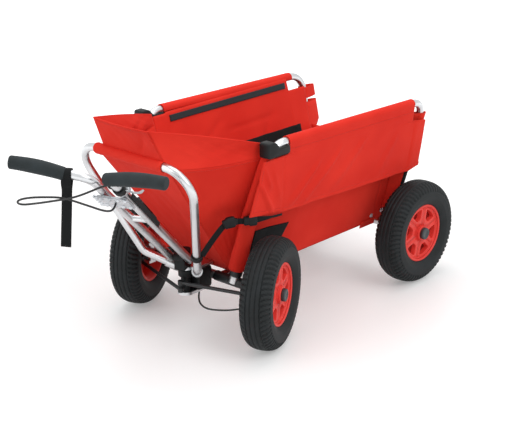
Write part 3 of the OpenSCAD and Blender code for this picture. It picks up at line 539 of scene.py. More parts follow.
# points of an arc in a profile's plane: its middle, and a radius times cosine and sine
def profileArc(middle, radius, first, last, count):
    a = np.linspace(first, last, count)
    return np.stack([middle[0] + radius * np.cos(a), middle[1] + radius * np.sin(a)], -1)


# the barrel's outline: outer lip, inner wall with a step at the web, inner lip, and the tyre's bed between them
def barrelProfile():
    f = rimForm
    bend, outer, lip = f["lipRound"], f["outer"], f["lip"]
    front = profileArc((outer - bend, lip - bend), bend, -f["curl"], math.pi, 10)
    back = profileArc((outer - bend, -lip + bend), bend, math.pi, 2 * math.pi + f["curl"], 10)
    bed = [(f["bed"], -f["bedHalf"]), (f["bed"], f["bedHalf"])]
    return np.concatenate([front, f["inner"], back, bed, front[:1]])


# the hub's outline: from its bore out, up past the web with a small fillet, and over a rounded edge
def hubProfile():
    f = rimForm
    hub, bend, bore, back = f["hub"], f["hubRound"], f["bore"], f["hubBack"]
    wide, high = f["fillet"]
    foot = [(bore, back), (hub, back), (hub + wide, f["web"]), (hub, f["web"] + high)]
    edge = profileArc((hub - bend, f["hubEnd"] - bend), bend, 0, math.pi / 2, 6)
    return np.concatenate([foot, edge, [(bore, f["hubEnd"]), (bore, back)]])


# one sector laid flat: rows of points with a height for each row, and the same for a plate of painted shade on its
# floor
def rimSector():
    f = rimForm
    half = math.pi / f["windows"]
    halfWide = lambda r: r * math.tan(half) - f["spoke"] / math.cos(half)
    wideEnd = f["windowOut"] * math.cos(half * f["spread"])
    tip = math.asin(min(halfWide(wideEnd) / f["windowOut"], f["widest"]))
    arc = [(f["windowOut"] * math.cos(a), f["windowOut"] * math.sin(a)) for a in np.linspace(-tip, tip, 7)]
    inner = [(f["windowIn"], halfWide(f["windowIn"])), (f["windowIn"], -halfWide(f["windowIn"]))]
    window = roundedLoop(inner + arc, count=288, soft=8)[::3]
    middle = np.array([f["middle"], 0.0])
    reach = unit(window - middle)
    along = reach[:, 0] * f["middle"]
    outside = -along + np.sqrt(along ** 2 + (f["seat"] + f["overlap"]) ** 2 - f["middle"] ** 2)
    inside = along ** 2 - f["middle"] ** 2 + (f["hub"] - f["overlap"]) ** 2
    inside = np.where((inside > 0) & (along < 0), -along - np.sqrt(np.maximum(inside, 0)), 1.0)
    slant = np.abs(reach[:, 1]) - reach[:, 0] * math.tan(half)
    sides = np.where(slant > 1e-4, f["middle"] * math.tan(half) / np.maximum(slant, 1e-4), 1.0)
    outline = middle + np.minimum(np.minimum(outside, inside), sides)[:, None] * reach
    poles = np.broadcast_to(middle, window.shape)
    shrunk = lambda share: middle + (window - middle) * share
    grown = lambda share: window + (outline - window) * share
    sector = np.stack([poles, shrunk(f["floorShare"]), window, window, *map(grown, f["webShares"]), outline, outline,
                       poles])
    heights = np.array([f["floor"], f["floor"], f["floor"] + f["floorEdge"], *(f["web"] - e for e in f["webEdges"]),
                        f["web"], f["web"], f["back"], f["back"]])
    plate = np.stack([poles, *map(shrunk, shadePlate["shares"]), poles])
    return (sector, heights), (plate, f["floor"] + shadePlate["heights"])


# flat rows with their heights set on a wheel, once for each window
def setRound(wheel, flat, heights):
    out, forward, up = wheelFrame(wheel)
    parts = []
    for step in range(rimForm["windows"]):
        angle = 2 * math.pi / rimForm["windows"] * step + wheel["turn"]
        radial = math.cos(angle) * forward + math.sin(angle) * up
        aside = math.cos(angle) * up - math.sin(angle) * forward
        grid = (np.asarray(wheel["centre"]) + flat[..., :1] * radial + flat[..., 1:] * aside
                + heights[:, None, None] * out)
        parts.append(gridPart(grid, loopCols=True))
    return parts


# a turned cap over the spindle's nut
hubCap = {"sides": 40, "profile": [
    (0.0155, 0.0329), (0.0169, 0.0334), (0.0171, 0.0345), (0.0171, 0.0412), (0.0166, 0.0424), (0.0155, 0.0431),
    (0.0095, 0.0434), (0.009, 0.0428), (0.0, 0.0426)]}
sector, plate = rimSector()
for name, wheel in wheels.items():
    body, centre, out = "wheel_" + wheel["node"], wheel["centre"], wheel["out"]
    turned = [turnProfile(barrelProfile(), centre, out, sides=96),
              turnProfile(hubProfile()[::-1], centre, out, sides=48)]
    makePiece("rim" + name, joinParts(setRound(wheel, *sector) + turned), "rim", body,
              ["rim_" + wheel["node"]], outward=True)
    # the plates in the windows carry painted shade
    makePiece("rimShadePlate" + name, joinParts(setRound(wheel, *plate)), "rimPaintedShade", body, outward=True)
    makePiece("hubCap" + name, turnProfile(hubCap["profile"], centre, out, hubCap["sides"]), "hubCap", body,
              outward=True)
print("stage: rims and hub caps made")


# the tub's cloth: the same corners as its solids, in metres
tub = {"floorZ": 0.1628, "tailY": 0.3355, "noseY": -0.2915, "taperFrontY": -0.2105, "taperRearY": -0.1155,
       "floorHalf": 0.119, "noseHalf": 0.096, "topX": 0.2122, "topZ": 0.538, "frontHalf": 0.07, "rearTop": 0.39,
       "rearY": 0.334, "seamFront": np.array([0.126, -0.5605, 0.519]), "seamRear": np.array([0.2046, -0.2918, 0.513]),
       "seamSag": 0.009, "cloth": 0.0024, "cols": 48, "noseIn": 0.001, "noseAhead": 0.0004, "rearIn": 0.004,
       "fadePower": 0.8}


# half width of the floor: full behind, and narrowing evenly between the two taper stations
def floorHalfAt(y):
    return tub["floorHalf"] - (tub["floorHalf"] - tub["noseHalf"]) * np.clip(
        (tub["taperRearY"] - y) / (tub["taperRearY"] - tub["taperFrontY"]), 0, 1)


slackForm = {"waves": ((1.0, 1.3, 0.8), (0.7, 2.6, -1.4), (0.5, -3.9, 2.2), (0.35, 6.1, 2.9)), "sum": 2.5, "turn": 6.28}


# slow waves of slack cloth: a few sines across two lengths, with seeded phases
def slackWaves(u, v, seed, size):
    rng = np.random.default_rng(seed)
    waves = np.zeros(np.broadcast(u, v).shape)
    for strength, along, up in slackForm["waves"]:
        waves = waves + strength * np.sin(2 * math.pi * (along * u + up * v) + rng.uniform(0, slackForm["turn"]))
    return size * waves / slackForm["sum"]


ridgeForm = {"overrun": 0.15, "fade": 0.4, "start": 0.6, "spread": 0.6}


# one soft ridge along a line from a to b: a bell across it, faded towards both ends
def ridge(u, v, a, b, wide, high):
    way = np.subtract(b, a)
    length = np.hypot(*way)
    share = ((u - a[0]) * way[0] + (v - a[1]) * way[1]) / length ** 2
    off = ((v - a[1]) * way[0] - (u - a[0]) * way[1]) / length
    f = ridgeForm
    fade = smoothStep((share + f["overrun"]) / f["fade"]) * smoothStep((1 + f["overrun"] - share) / f["fade"])
    return high * np.exp(-(off / (wide * (f["start"] + f["spread"] * np.clip(share, 0, 1)))) ** 2) * fade


# a piece of cloth from its grids; what holds it and what it rests on are given but not used
def clothPiece(name, grids, held, restsOn, node=None, thickness=tub["cloth"], finish="redCloth", far=False, **loops):
    part = joinParts([gridPart(grid, **loops) for grid in grids])
    piece = makePiece(name, mirrorPart(part) if far else part, finish, "chassis",
                      [node] if node else [], thickness)
    declareCloth(grids)


# stretched cloth on each side, the right one mirrored; a star in a name that it rests on stands for the side
def clothPair(name, grids, restsOn, node=None, farGrids=None, **more):
    for side, cut in (("Left", grids), ("Right", farGrids or grids)):
        low = side.lower()
        clothPiece(name + side, cut, "stretched", [rest.replace("*", low) for rest in restsOn],
                   node and node + low, far=side == "Right", **more)


# side walls: slack cloth with a few creases; the upper edge steps down under the cap and behind the sleeve
wall = {"inset": 0.0015, "lift": 0.002, "belly": 0.0025, "slack": 0.0024, "slackRates": (1.5, 0.8), "rows": 56,
        "cols": 104,
        "capStep": (-0.2415, 0.004, 0.008), "sleeveStep": (0.2585, 0.005, 0.097),
        "stepCols": [-0.2415, -0.2435, -0.2455, 0.2585, 0.261, 0.2635],
        "creases": [((-0.02, 0.745), (0.2, 0.752), 0.02, 0.0024), ((-0.16, 0.62), (-0.02, 0.86), 0.02, 0.0022),
                    ((0.1, 0.5), (0.19, 0.84), 0.018, 0.0018), ((0.262, 0.1), (0.268, 0.8), 0.006, -0.0016)]}


# share of the wall's slope at a height
def wallShareAt(z):
    return (z - tub["floorZ"] - wall["lift"]) / (tub["topZ"] - tub["floorZ"] - wall["lift"])


# the wall at a station along and a share of its slope: straight from floor to top, with a belly and creases on it
def wallPoint(y, v):
    low = floorHalfAt(y) - wall["inset"]
    rateY, rateV = wall["slackRates"]
    slack = slackWaves(y * rateY, v * rateV, seed=3, size=wall["slack"])
    belly = np.sin(math.pi * np.clip(v, 0, 1)) * (wall["belly"] + slack)
    creases = sum(ridge(y, v, *crease) for crease in wall["creases"])
    x = low + (tub["topX"] - low) * v + belly + creases
    z = tub["floorZ"] + wall["lift"] + (tub["topZ"] - tub["floorZ"] - wall["lift"]) * v
    return np.stack(np.broadcast_arrays(x, y, z), -1)


# share of the slope at the wall's upper edge: one, less two smooth steps
def wallTopAt(y):
    (capY, capRamp, capDrop), (sleeveY, sleeveRamp, sleeveDrop) = wall["capStep"], wall["sleeveStep"]
    return 1 - capDrop * smoothStep((capY - y) / capRamp) - sleeveDrop * smoothStep((y - sleeveY) / sleeveRamp)


sideY = np.sort(np.concatenate([np.linspace(tub["noseY"], tub["tailY"], wall["cols"]), wall["stepCols"]]))[::-1]
sideGrid = wallPoint(sideY[None], np.linspace(0, 1, wall["rows"])[:, None] * wallTopAt(sideY)[None])
clothPair("tubSide", [sideGrid], ["side_frame_*", "chassis_frame"], "tub_side_")


# a patch drawn straight from a lower edge to an upper one, with a bow and slack waves that fade at its rim
def betweenEdges(lower, upper, rows, bow, seed, waves):
    v = np.linspace(0, 1, rows)[:, None, None]
    u = np.linspace(0, 1, len(lower))[None, :, None]
    hang = np.sin(math.pi * u) ** tub["fadePower"] * np.sin(math.pi * v) ** tub["fadePower"]
    way = unit(np.asarray(bow, float))
    return lower * (1 - v) + upper * v + hang * np.asarray(bow) + hang * way * slackWaves(u, v, seed, waves)


cols = tub["cols"]
lowNose = np.array([tub["noseHalf"] - tub["noseIn"], tub["noseY"] - tub["noseAhead"], tub["floorZ"]])
lowFront = np.array([tub["frontHalf"], tub["noseY"], tub["floorZ"]])
straightSeam = straightEdge(tub["seamFront"], tub["seamRear"], cols)
seam = straightSeam.copy()
seam[:, 2] -= tub["seamSag"] * np.sin(np.linspace(0, math.pi, cols))
cornerGrid = betweenEdges(straightEdge(lowFront, lowNose, cols), seam, rows=48, bow=(-0.003, 0.005, 0.001), seed=8,
                          waves=0.0034)
frontGrid = betweenEdges(straightEdge(lowFront * mirrorX, lowFront, cols),
                         straightEdge(tub["seamFront"] * mirrorX, tub["seamFront"], cols), rows=48,
                         bow=(0.0, 0.006, 0.003), seed=11, waves=0.0026)
clothPair("tubCorner", [cornerGrid], ["front_hoop", "chassis_frame"], "tub_corner_")
clothPiece("tubFront", [frontGrid], "stretched", ["front_hoop", "chassis_frame"], "tub_front")

rearShare = (tub["rearTop"] - tub["floorZ"]) / (tub["topZ"] - tub["floorZ"])
rearLow = np.array([tub["floorHalf"] - tub["rearIn"], tub["rearY"], tub["floorZ"]])
rearHigh = np.array([rearLow[0] + (tub["topX"] - tub["floorHalf"]) * rearShare, tub["rearY"], tub["rearTop"]])
rearGrid = betweenEdges(straightEdge(rearLow, rearLow * mirrorX, cols),
                        straightEdge(rearHigh, rearHigh * mirrorX, cols), rows=32, bow=(0.0, -0.003, 0.0), seed=5,
                        waves=0.0016)
clothPiece("tubRear", [rearGrid], "stretched", ["tubSideLeft", "tubSideRight"], "tub_rear")

floorCloth = {"rearY": 0.332, "inset": 0.0035, "lift": 0.0015, "rows": 30, "cols": 60}
floorY = np.linspace(floorCloth["rearY"], tub["noseY"] + floorCloth["inset"], floorCloth["cols"])[None]
floorX = np.linspace(-1, 1, floorCloth["rows"])[:, None] * (floorHalfAt(floorY) - floorCloth["inset"])
floorGrid = np.stack(np.broadcast_arrays(floorX, floorY, tub["floorZ"] + floorCloth["lift"]), -1)
# the tub's floor takes the darker copy of the cloth: painted shade
clothPiece("tubFloor", [floorGrid], "laid", ["chassis_frame"], "tub_floor", finish="redClothShaded")
print("stage: tub cloth made")


# side flap: round the top tube from inside, then down outside it, with a seam near its front edge, ridges drawn by the
# strap at its front lower corner and long folds behind them; edges, hem and ridges lie along the tube and down from it
flap = {"front": np.array([0.228, -0.24471, 0.5439]), "along": np.array([0.0, 0.9998013, -0.0199347]),
        "hang": np.array([-0.186661, 0.0, -0.982424]), "length": 0.536, "radius": 0.0132, "wrap": 215,
        "sleeveRows": 18, "panelRows": 72, "cols": 150, "thickness": 0.0022, "belly": 0.005, "bellyPower": 0.6,
        "slack": 0.0018, "slackRates": (2.2, 3.0), "slackFrom": 0.25, "slackTop": 0.4, "ridgesFrom": 0.15,
        "frontEdge": ((0.0, 0.155, 0.18, 1.0), (0.0, 0.0, -0.0918, -0.114)),
        "rearEdge": ((0.0, 0.225, 0.245, 0.27, 1.0), (0.534, 0.538, 0.584, 0.598, 0.606)),
        "hem": ((-0.114, 0.0115, 0.53, 0.56, 0.6), (0.182, 0.1983, 0.2085, 0.2075, 0.198)),
        "ridges": [((-0.1, 0.085), (-0.028, 0.19), 0.0074, 0.0078), ((-0.085, 0.05), (-0.05, 0.115), 0.0058, 0.0046),
                   ((-0.05, 0.06), (-0.005, 0.16), 0.0075, 0.003), ((0.13, 0.075), (0.03, 0.185), 0.0105, 0.0068),
                   ((0.215, 0.06), (0.085, 0.19), 0.0125, 0.006), ((0.32, 0.05), (0.2, 0.175), 0.016, 0.0048),
                   ((0.47, 0.07), (0.4, 0.19), 0.016, 0.0028), ((0.546, 0.05), (0.552, 0.2), 0.0045, -0.0022)],
        "seam": {"top": -0.0222, "foot": 0.0115, "wide": 0.0026, "deep": 0.0018, "from": 0.2},
        "post": {"from": 0.535, "ramp": 0.03, "high": 0.004}}
flapOut = np.cross(flap["hang"], flap["along"])


# the flap's points: an arc about the tube carried along it, then rows down the panel, raised from its plane by belly,
# ridges, slack and the bulge over the post, and sunk along the seam by a bell
def flapGrid():
    f, sewn, post = flap, flap["seam"], flap["post"]
    u = np.linspace(0, 1, f["cols"])[None]
    angle = np.linspace(math.radians(f["wrap"]), 0, f["sleeveRows"], endpoint=False)[:, None]
    sleeveT = u * f["length"] + 0 * angle
    sleeve = (f["front"] + sleeveT[..., None] * f["along"]
              + f["radius"] * (np.cos(angle)[..., None] * flapOut - np.sin(angle)[..., None] * f["hang"]))
    share = np.linspace(0, 1, f["panelRows"])[:, None]
    first = np.interp(share, *f["frontEdge"])
    last = np.interp(share, *f["rearEdge"])
    t = first + (last - first) * u
    d = share * np.interp(t, *f["hem"])
    lift = sum(ridge(t, d, *fold) for fold in f["ridges"])
    seamT = sewn["top"] + (sewn["foot"] - sewn["top"]) * share
    lift = lift - sewn["deep"] * np.exp(-((t - seamT) / sewn["wide"]) ** 2) * smoothStep(share / sewn["from"])
    belly = np.sin(math.pi * share) * np.sin(math.pi * u) ** f["bellyPower"] * f["belly"]
    rateT, rateD = f["slackRates"]
    slack = slackWaves(t * rateT, d * rateD, seed=21, size=f["slack"]) * smoothStep(share / f["slackFrom"])
    slack = slack * (f["slackTop"] + (1 - f["slackTop"]) * share)
    roundPost = post["high"] * smoothStep((t - post["from"]) / post["ramp"])
    raised = f["radius"] + belly + lift * smoothStep(share / f["ridgesFrom"]) + slack + roundPost
    panel = (f["front"] + t[..., None] * f["along"] + d[..., None] * f["hang"] + raised[..., None] * flapOut)
    return np.concatenate([sleeve, panel])


flapCloth = flapGrid()
flapPieces = bothSides("flap", gridPart(flapCloth), "redCloth", "flap_", flap["thickness"])
hemForm = {"width": 0.012, "thickness": 0.0042, "up": 0.005}
hemPath = flapCloth[-1] - hemForm["up"] * flap["hang"]
hemProfile = bandProfile(hemForm["thickness"], hemForm["width"], sides=20)
hemPieces = bothSides("flapHem", carryProfile(hemPath, hemProfile, -flap["hang"]), "redCloth")
print("stage: flaps hung")


# front lip: a sleeve round the hoop's top bar, an upright panel that leans ahead, and a gusset to each side; its front
# edge bends at the sleeve, its upper edge runs back to the cap, and one hem follows the whole free edge
lip = {"barY": -0.572, "barZ": 0.53, "half": 0.121, "radius": 0.0132, "root": np.array([0.117, -0.5712, 0.5428]),
       "free": np.array([0.0975, -0.6, 0.62]), "side": np.array([0.2047, -0.302, 0.545]), "hem": 0.0017,
       "farRoot": np.array([0.095, -0.5722, 0.5435]), "sleeveCloth": 0.0022, "bow": 0.005, "sag": 0.0035,
       "slack": 0.0022, "slackRates": (0.5, 0.6), "fold": ((0.35, 0.1), (0.75, 0.95), 0.1, 0.003), "rows": 30,
       "cols": 64, "sleeveSides": 40, "sleeveCols": 60}
a = roundAngles(lip["sleeveSides"])[:, None]
x = np.linspace(lip["half"], -lip["half"], lip["sleeveCols"])[None]
pucker = {"high": 0.0007, "rate": 420, "reach": 0.02, "slowHigh": 0.0004, "slowRate": 130}
gathered = pucker["high"] * np.sin(x * pucker["rate"]) * np.exp(-((np.abs(x) - lip["half"]) / pucker["reach"]) ** 2)
sleeveRadius = lip["radius"] + (gathered + pucker["slowHigh"] * np.sin(x * pucker["slowRate"] + 2 * a))
sleeveGrid = np.stack(np.broadcast_arrays(x, lip["barY"] + sleeveRadius * np.cos(a),
                                          lip["barZ"] + sleeveRadius * np.sin(a)), -1)
clothPiece("hoopSleeve", [sleeveGrid], "stretched", ["front_hoop"], thickness=lip["sleeveCloth"], loopRows=True)
u = np.linspace(-1, 1, lip["cols"])[None]
v = np.linspace(0, 1, lip["rows"])[:, None]
rateU, rateV = lip["slackRates"]
rootX = np.where(u > 0, lip["root"][0], lip["farRoot"][0])
lipX = u * (rootX + (lip["free"][0] - rootX) * v)
lipY = (lip["root"][1] + (lip["free"][1] - lip["root"][1]) * v + lip["bow"] * np.sin(math.pi * v) * (1 - u ** 2)
        + slackWaves(u * rateU, v * rateV, seed=31, size=lip["slack"]) * np.sin(math.pi * v)
        + ridge(u, v, *lip["fold"]))
lipZ = lip["root"][2] + (lip["free"][2] - lip["root"][2]) * v - lip["sag"] * v * (1 - u ** 2)
lipGrid = np.stack(np.broadcast_arrays(lipX, lipY, lipZ), -1)
clothPiece("frontLip", [lipGrid], "stretched", ["front_hoop"], "front_lip")

gusset = {"rows": 34, "bend": 0.24, "hollow": np.array([-0.007, 0.002, -0.002]), "slack": 0.5, "rise": 0.003}


# gusset from the seam below to the free edge above: its front edge bends at the sleeve, its face is drawn in a little
def gussetFrom(root):
    v = np.linspace(0, 1, gusset["rows"])[:, None, None]
    u = np.linspace(0, 1, cols)[None, :, None]
    lowShare = np.clip(v / gusset["bend"], 0, 1)
    highShare = np.clip((v - gusset["bend"]) / (1 - gusset["bend"]), 0, 1)
    frontEdge = tub["seamFront"] + (root - tub["seamFront"]) * lowShare + (lip["free"] - root) * highShare
    rearEdge = tub["seamRear"] * (1 - v) + lip["side"] * v
    grid = frontEdge * (1 - u) + rearEdge * u
    grid[..., 2] += (seam - straightSeam)[None, :, 2] * (1 - v[..., 0])
    hollow = np.sin(math.pi * u) * np.sin(math.pi * v)
    grid = grid + hollow * gusset["hollow"] * (1 + slackWaves(u, v, seed=41, size=gusset["slack"]))
    grid[..., 2] += (gusset["rise"] * np.sin(math.pi * u) * v)[..., 0]
    return grid


nearGusset, farGusset = gussetFrom(lip["root"]), gussetFrom(lip["farRoot"])
clothPair("lipGusset", [nearGusset], ["frontLip", "side_frame_*"], farGrids=[farGusset])
lipEdge = np.concatenate([nearGusset[-1, :0:-1], lipGrid[-1, ::-1], (farGusset[-1] * mirrorX)[1:]])
makePiece("lipHem", carryProfile(lipEdge, circleProfile(lip["hem"], sides=10), upward), "redCloth", "chassis")
print("stage: front lip made")


# sleeves of cloth round the front posts: a little slack and lobed, drawn out ahead of the post
postSleeve = {"low": (0.1259, -0.3188, 0.1915), "high": (0.22, -0.3014, 0.517), "radius": 0.0154, "rows": 60,
              "sides": 40, "reach": 0.017, "cloth": 0.0016, "foot": {"below": 0.26, "ramp": 0.14, "more": 0.2},
              "lobes": ((0.07, 2, 0, 0.8 + math.pi / 2), (0.04, 3, 5, 0), (0.03, 1, 14, 0)), "drawn": (0.14, 0.94),
              "ahead": (0, -1, 0.3)}


# a sleeve along a straight: its radius goes in slow lobes round and along and widens at the foot; the front is drawn
# ahead by a sine along the sleeve
def lobedSleeve():
    f, foot = postSleeve, postSleeve["foot"]
    share = np.linspace(0, 1, f["rows"])[:, None]
    path = np.asarray(f["low"]) + share * (np.asarray(f["high"]) - np.asarray(f["low"]))
    a = roundAngles(f["sides"])[None]
    lobes = 1 + sum(size * np.sin(turns * a + along * share + start) for size, turns, along, start in f["lobes"])
    radius = f["radius"] * lobes * (1 + foot["more"] * smoothStep((foot["below"] - share) / foot["ramp"]))
    drawn = np.sin(math.pi * (f["drawn"][0] + share * (f["drawn"][1] - f["drawn"][0])))
    stretch = np.where(np.sin(a) > 0, f["reach"] * np.sin(a), 0.0) * drawn
    profile = np.stack([radius * np.cos(a), radius * np.sin(a) + stretch], -1)
    points = carryProfile(path, profile, f["ahead"], capped=False)[0]
    return points.reshape(f["rows"], f["sides"], 3)


clothPair("postSleeve", [lobedSleeve()], ["side_frame_*"], thickness=postSleeve["cloth"], loopCols=True)


# tabs of cloth from the side wall's rear edge round the rear post, and a black binding on the post's outer side
rearTab = {"post": np.array([(0.145, 0.3155, 0.178), (0.228, 0.352, 0.532)]), "spans": ((0.464, 0.496), (0.2, 0.452)),
           "radius": 0.0138, "tails": {"Left": 0.004, "Right": 0.034}, "tailFrom": 0.345, "sewnAt": 0.297,
           "turn": (-72, 200), "thickness": 0.0022, "tailRamp": 0.05, "tailSpread": 3.0, "edgeIn": 0.004,
           "sewnOff": np.array([0.002, 0.0]), "rows": 18, "turnCols": 36, "sideCols": 10}
binding = {"span": (0.205, 0.358), "turn": (-34, 110), "off": 0.0018, "thickness": 0.0016, "rows": 30, "cols": 26}


# the post's middle at given heights
def rearPostAt(z):
    low, high = rearTab["post"]
    share = (z - low[2]) / (high[2] - low[2])
    return low[0] + share * (high[0] - low[0]), low[1] + share * (high[1] - low[1])


# a tab: from its seam on the wall straight to the post, round it, out behind it by its tail, and back to the wall
def rearTabGrids(tail):
    grids = []
    for low, high in rearTab["spans"]:
        z = np.linspace(low, high, rearTab["rows"])[:, None]
        postX, postY = rearPostAt(z)
        turn = np.linspace(*np.radians(rearTab["turn"]), rearTab["turnCols"])[None]
        spread = 1 + rearTab["tailSpread"] * (rearTab["spans"][0][1] - z)
        hang = tail * smoothStep((z - rearTab["tailFrom"]) / rearTab["tailRamp"]) * spread
        ringX = postX + rearTab["radius"] * np.cos(turn)
        ringY = postY + rearTab["radius"] * np.sin(turn) + hang * np.maximum(np.sin(turn), 0) ** 2
        ring = np.stack([ringX, ringY], -1)
        edge = wallPoint(np.full_like(z, tub["tailY"] - rearTab["edgeIn"]), wallShareAt(z))[..., :2]
        sewn = wallPoint(np.full_like(z, rearTab["sewnAt"]), wallShareAt(z))[..., :2] + rearTab["sewnOff"]
        share = np.linspace(0, 1, rearTab["sideCols"])[None, :, None]
        toPost = sewn + (ring[:, :1] - sewn) * share[:, :-1]
        toWall = ring[:, -1:] + (edge - ring[:, -1:]) * share[:, 1:]
        level = np.concatenate([toPost, ring, toWall], 1)
        grids.append(np.stack(np.broadcast_arrays(level[..., 0], level[..., 1], z), -1))
    return grids


clothPair("rearTab", rearTabGrids(rearTab["tails"]["Left"]), ["side_frame_*"], thickness=rearTab["thickness"],
          farGrids=rearTabGrids(rearTab["tails"]["Right"]))
z = np.linspace(*binding["span"], binding["rows"])[:, None]
postX, postY = rearPostAt(z)
turn = np.radians(np.linspace(*binding["turn"], binding["cols"]))[None]
reach = rearTab["radius"] + binding["off"]
bindGrid = np.stack(np.broadcast_arrays(postX + reach * np.cos(turn), postY + reach * np.sin(turn), z), -1)
bothSides("rearBinding", gridPart(bindGrid), "webbing", None, binding["thickness"])


# a grey band sewn inside each side wall, a black band of painted shade lower inside it, the wheel patch outside it and
# a red tab below; along, up the slope, off it
trim = {"wallBand": {"y": (0.248, -0.232), "v": (0.925, 0.972), "rows": 8, "cols": 70, "off": -0.0026},
        "wallShadeBand": {"y": (0.288, -0.1), "v": (0.54, 0.628), "rows": 10, "cols": 60, "off": -0.0026},
        "wallTab": {"y": (0.276, 0.21), "v": (-0.022, 0.03), "rows": 8, "cols": 14, "off": 0.003},
        "band": 0.0014, "tab": 0.0022, "down": 0.25}
patch = {"y": (-0.139, -0.258), "v": (0.03, 0.315), "rows": 30, "cols": 40, "slant": 0.03, "drop": 0.01,
         "off": np.array([0.0024, 0.0, -0.0006])}


# a strip that follows the wall between two stations and two shares of its slope, set off from it
def wallStrip(form):
    y = np.linspace(*form["y"], form["cols"])[None]
    v = np.linspace(*form["v"], form["rows"])[:, None]
    return gridPart(wallPoint(y, v) + np.array([form["off"], 0.0, -form["off"] * trim["down"]]))


bothSides("wallBand", wallStrip(trim["wallBand"]), "greyBand", None, trim["band"])
# a black band of painted shade where the inside of the wall is in shade
bothSides("wallShadeBand", wallStrip(trim["wallShadeBand"]), "webbing", None, trim["band"])
patchU = np.linspace(0, 1, patch["cols"])[None]
patchS = np.linspace(0, 1, patch["rows"])[:, None]
patchY = patch["y"][0] + (patch["y"][1] - patch["y"][0]) * patchU - patch["slant"] * (1 - patchS) * (1 - patchU)
patchV = patch["v"][0] + (patch["v"][1] - patch["v"][0] - patch["drop"] * (1 - patchU)) * patchS
bothSides("wheelPatch", gridPart(wallPoint(patchY, patchV) + patch["off"]), "webbing", None,
          trim["band"])
bothSides("wallTab", wallStrip(trim["wallTab"]), "redCloth", None, trim["tab"])
print("stage: trim sewn on")


# strap from a clamp on the left hoop leg to buckles at the post, and its tail along the flap's hem; a buckle is a
# point of the strap with the block's half sizes
strap = {"ring": (0.1166, -0.4599, 0.262), "leg": (0.3294, -0.3643, 0.871), "width": 0.016, "thickness": 0.0022,
         "samples": 90, "look": 3, "tail": {"from": 0.64, "ramp": 0.2, "less": 0.62},
         "clamp": [(0.0115, -0.007), (0.0115, 0.007), (0.0148, 0.007), (0.0156, 0.004), (0.0156, -0.004),
                   (0.0148, -0.007), (0.0115, -0.007)],
         "buckles": [(27, (0.0085, 0.006, 0.0125)), (33, (0.013, 0.0072, 0.0145)), (39, (0.006, 0.005, 0.009)),
                     (49, (0.0085, 0.0062, 0.0115)), (54, (0.0115, 0.0072, 0.0145))],
         "route": [(0.1305, -0.4555, 0.268), (0.1432, -0.4312, 0.3049), (0.1558, -0.4073, 0.3366),
                   (0.1633, -0.393, 0.3475), (0.1733, -0.374, 0.3492), (0.188, -0.348, 0.3478),
                   (0.2052, -0.3225, 0.3495), (0.2155, -0.296, 0.3495), (0.2165, -0.268, 0.347),
                   (0.2158, -0.246, 0.345)]}
strapPath = curveThrough(strap["route"], strap["samples"])
tail = strap["tail"]
narrow = 1 - tail["less"] * smoothStep((np.linspace(0, 1, strap["samples"]) - tail["from"]) / tail["ramp"])
shares = np.stack([np.ones_like(narrow), narrow], -1)[:, None]
strapRings = bandProfile(strap["thickness"], strap["width"], sides=18)[None] * shares
makePiece("strapLeft", carryProfile(strapPath, strapRings, upward), "webbing", "chassis")
buckleParts = [turnProfile(strap["clamp"], strap["ring"], strap["leg"], sides=32)]
for at, halves in strap["buckles"]:
    ahead = unit(strapPath[at + strap["look"]] - strapPath[at - strap["look"]])
    aside = unit(np.cross(upward, ahead))
    buckleParts.append(roundedBlock(strapPath[at], [ahead, aside, np.cross(ahead, aside)], halves))
makePiece("buckleLeft", joinParts(buckleParts), "nylon", "chassis", outward=True)
print("stage: straps laid")


# corner caps: the cap's side outline with soft corners, carried across with its rims drawn in; the tube lies in it
cap = {"at": (0.211, -0.329, 0.5166), "wide": 0.034, "bevel": 0.0022, "middle": np.array([0.036, 0.016]),
       "drawIn": 0.02, "shares": np.array([0, 0.03, 0.1, 0.9, 0.97, 1.0]),
       "insets": np.array([1.0, 0.35, 0, 0, 0.35, 1.0]),
       "outline": [(0.0, 0.0), (0.084, 0.0), (0.084, 0.022), (0.044, 0.022), (0.028, 0.04), (0.0, 0.04)]}
capLoop = roundedLoop(cap["outline"], count=160, soft=3)
capInset = cap["bevel"] * cap["insets"] / cap["drawIn"]
capRings = capLoop[None] + (cap["middle"] - capLoop)[None] * capInset[:, None, None]
capX = np.broadcast_to((cap["at"][0] + cap["shares"] * cap["wide"])[:, None], capRings.shape[:2])
capGrid = np.stack([capX, cap["at"][1] + capRings[..., 0], cap["at"][2] + capRings[..., 1]], -1)
bothSides("cornerCap", gridPart(closeEnds(capGrid), loopCols=True), "nylon", "corner_cap_",
          outward=True)


# steering housing between the bracket's lugs, behind the collar
housing = {"place": (0.0, -0.3452, 0.148), "halves": (0.036, 0.0255, 0.0312), "power": 9.0}
makePiece("steeringHousing", roundedBlock(housing["place"], np.eye(3), housing["halves"], housing["power"], rows=28,
                                          cols=44), "nylon", "chassis")


# cover round the collar's front half, above the rods: a band's section carried along an arc about the pivot
cover = {"pivot": (0.0, -0.3855, 0.1677), "radius": 0.0165, "half": 84, "section": (0.0074, 0.0192), "samples": 48}
coverTurn = np.radians(np.linspace(-cover["half"], cover["half"], cover["samples"]))[:, None]
coverPath = np.asarray(cover["pivot"]) + cover["radius"] * (np.cos(coverTurn) * heading + np.sin(coverTurn) * across)
makePiece("steeringCover", carryProfile(coverPath, bandProfile(*cover["section"], sides=28), upward), "nylon", "head",
          outward=True)


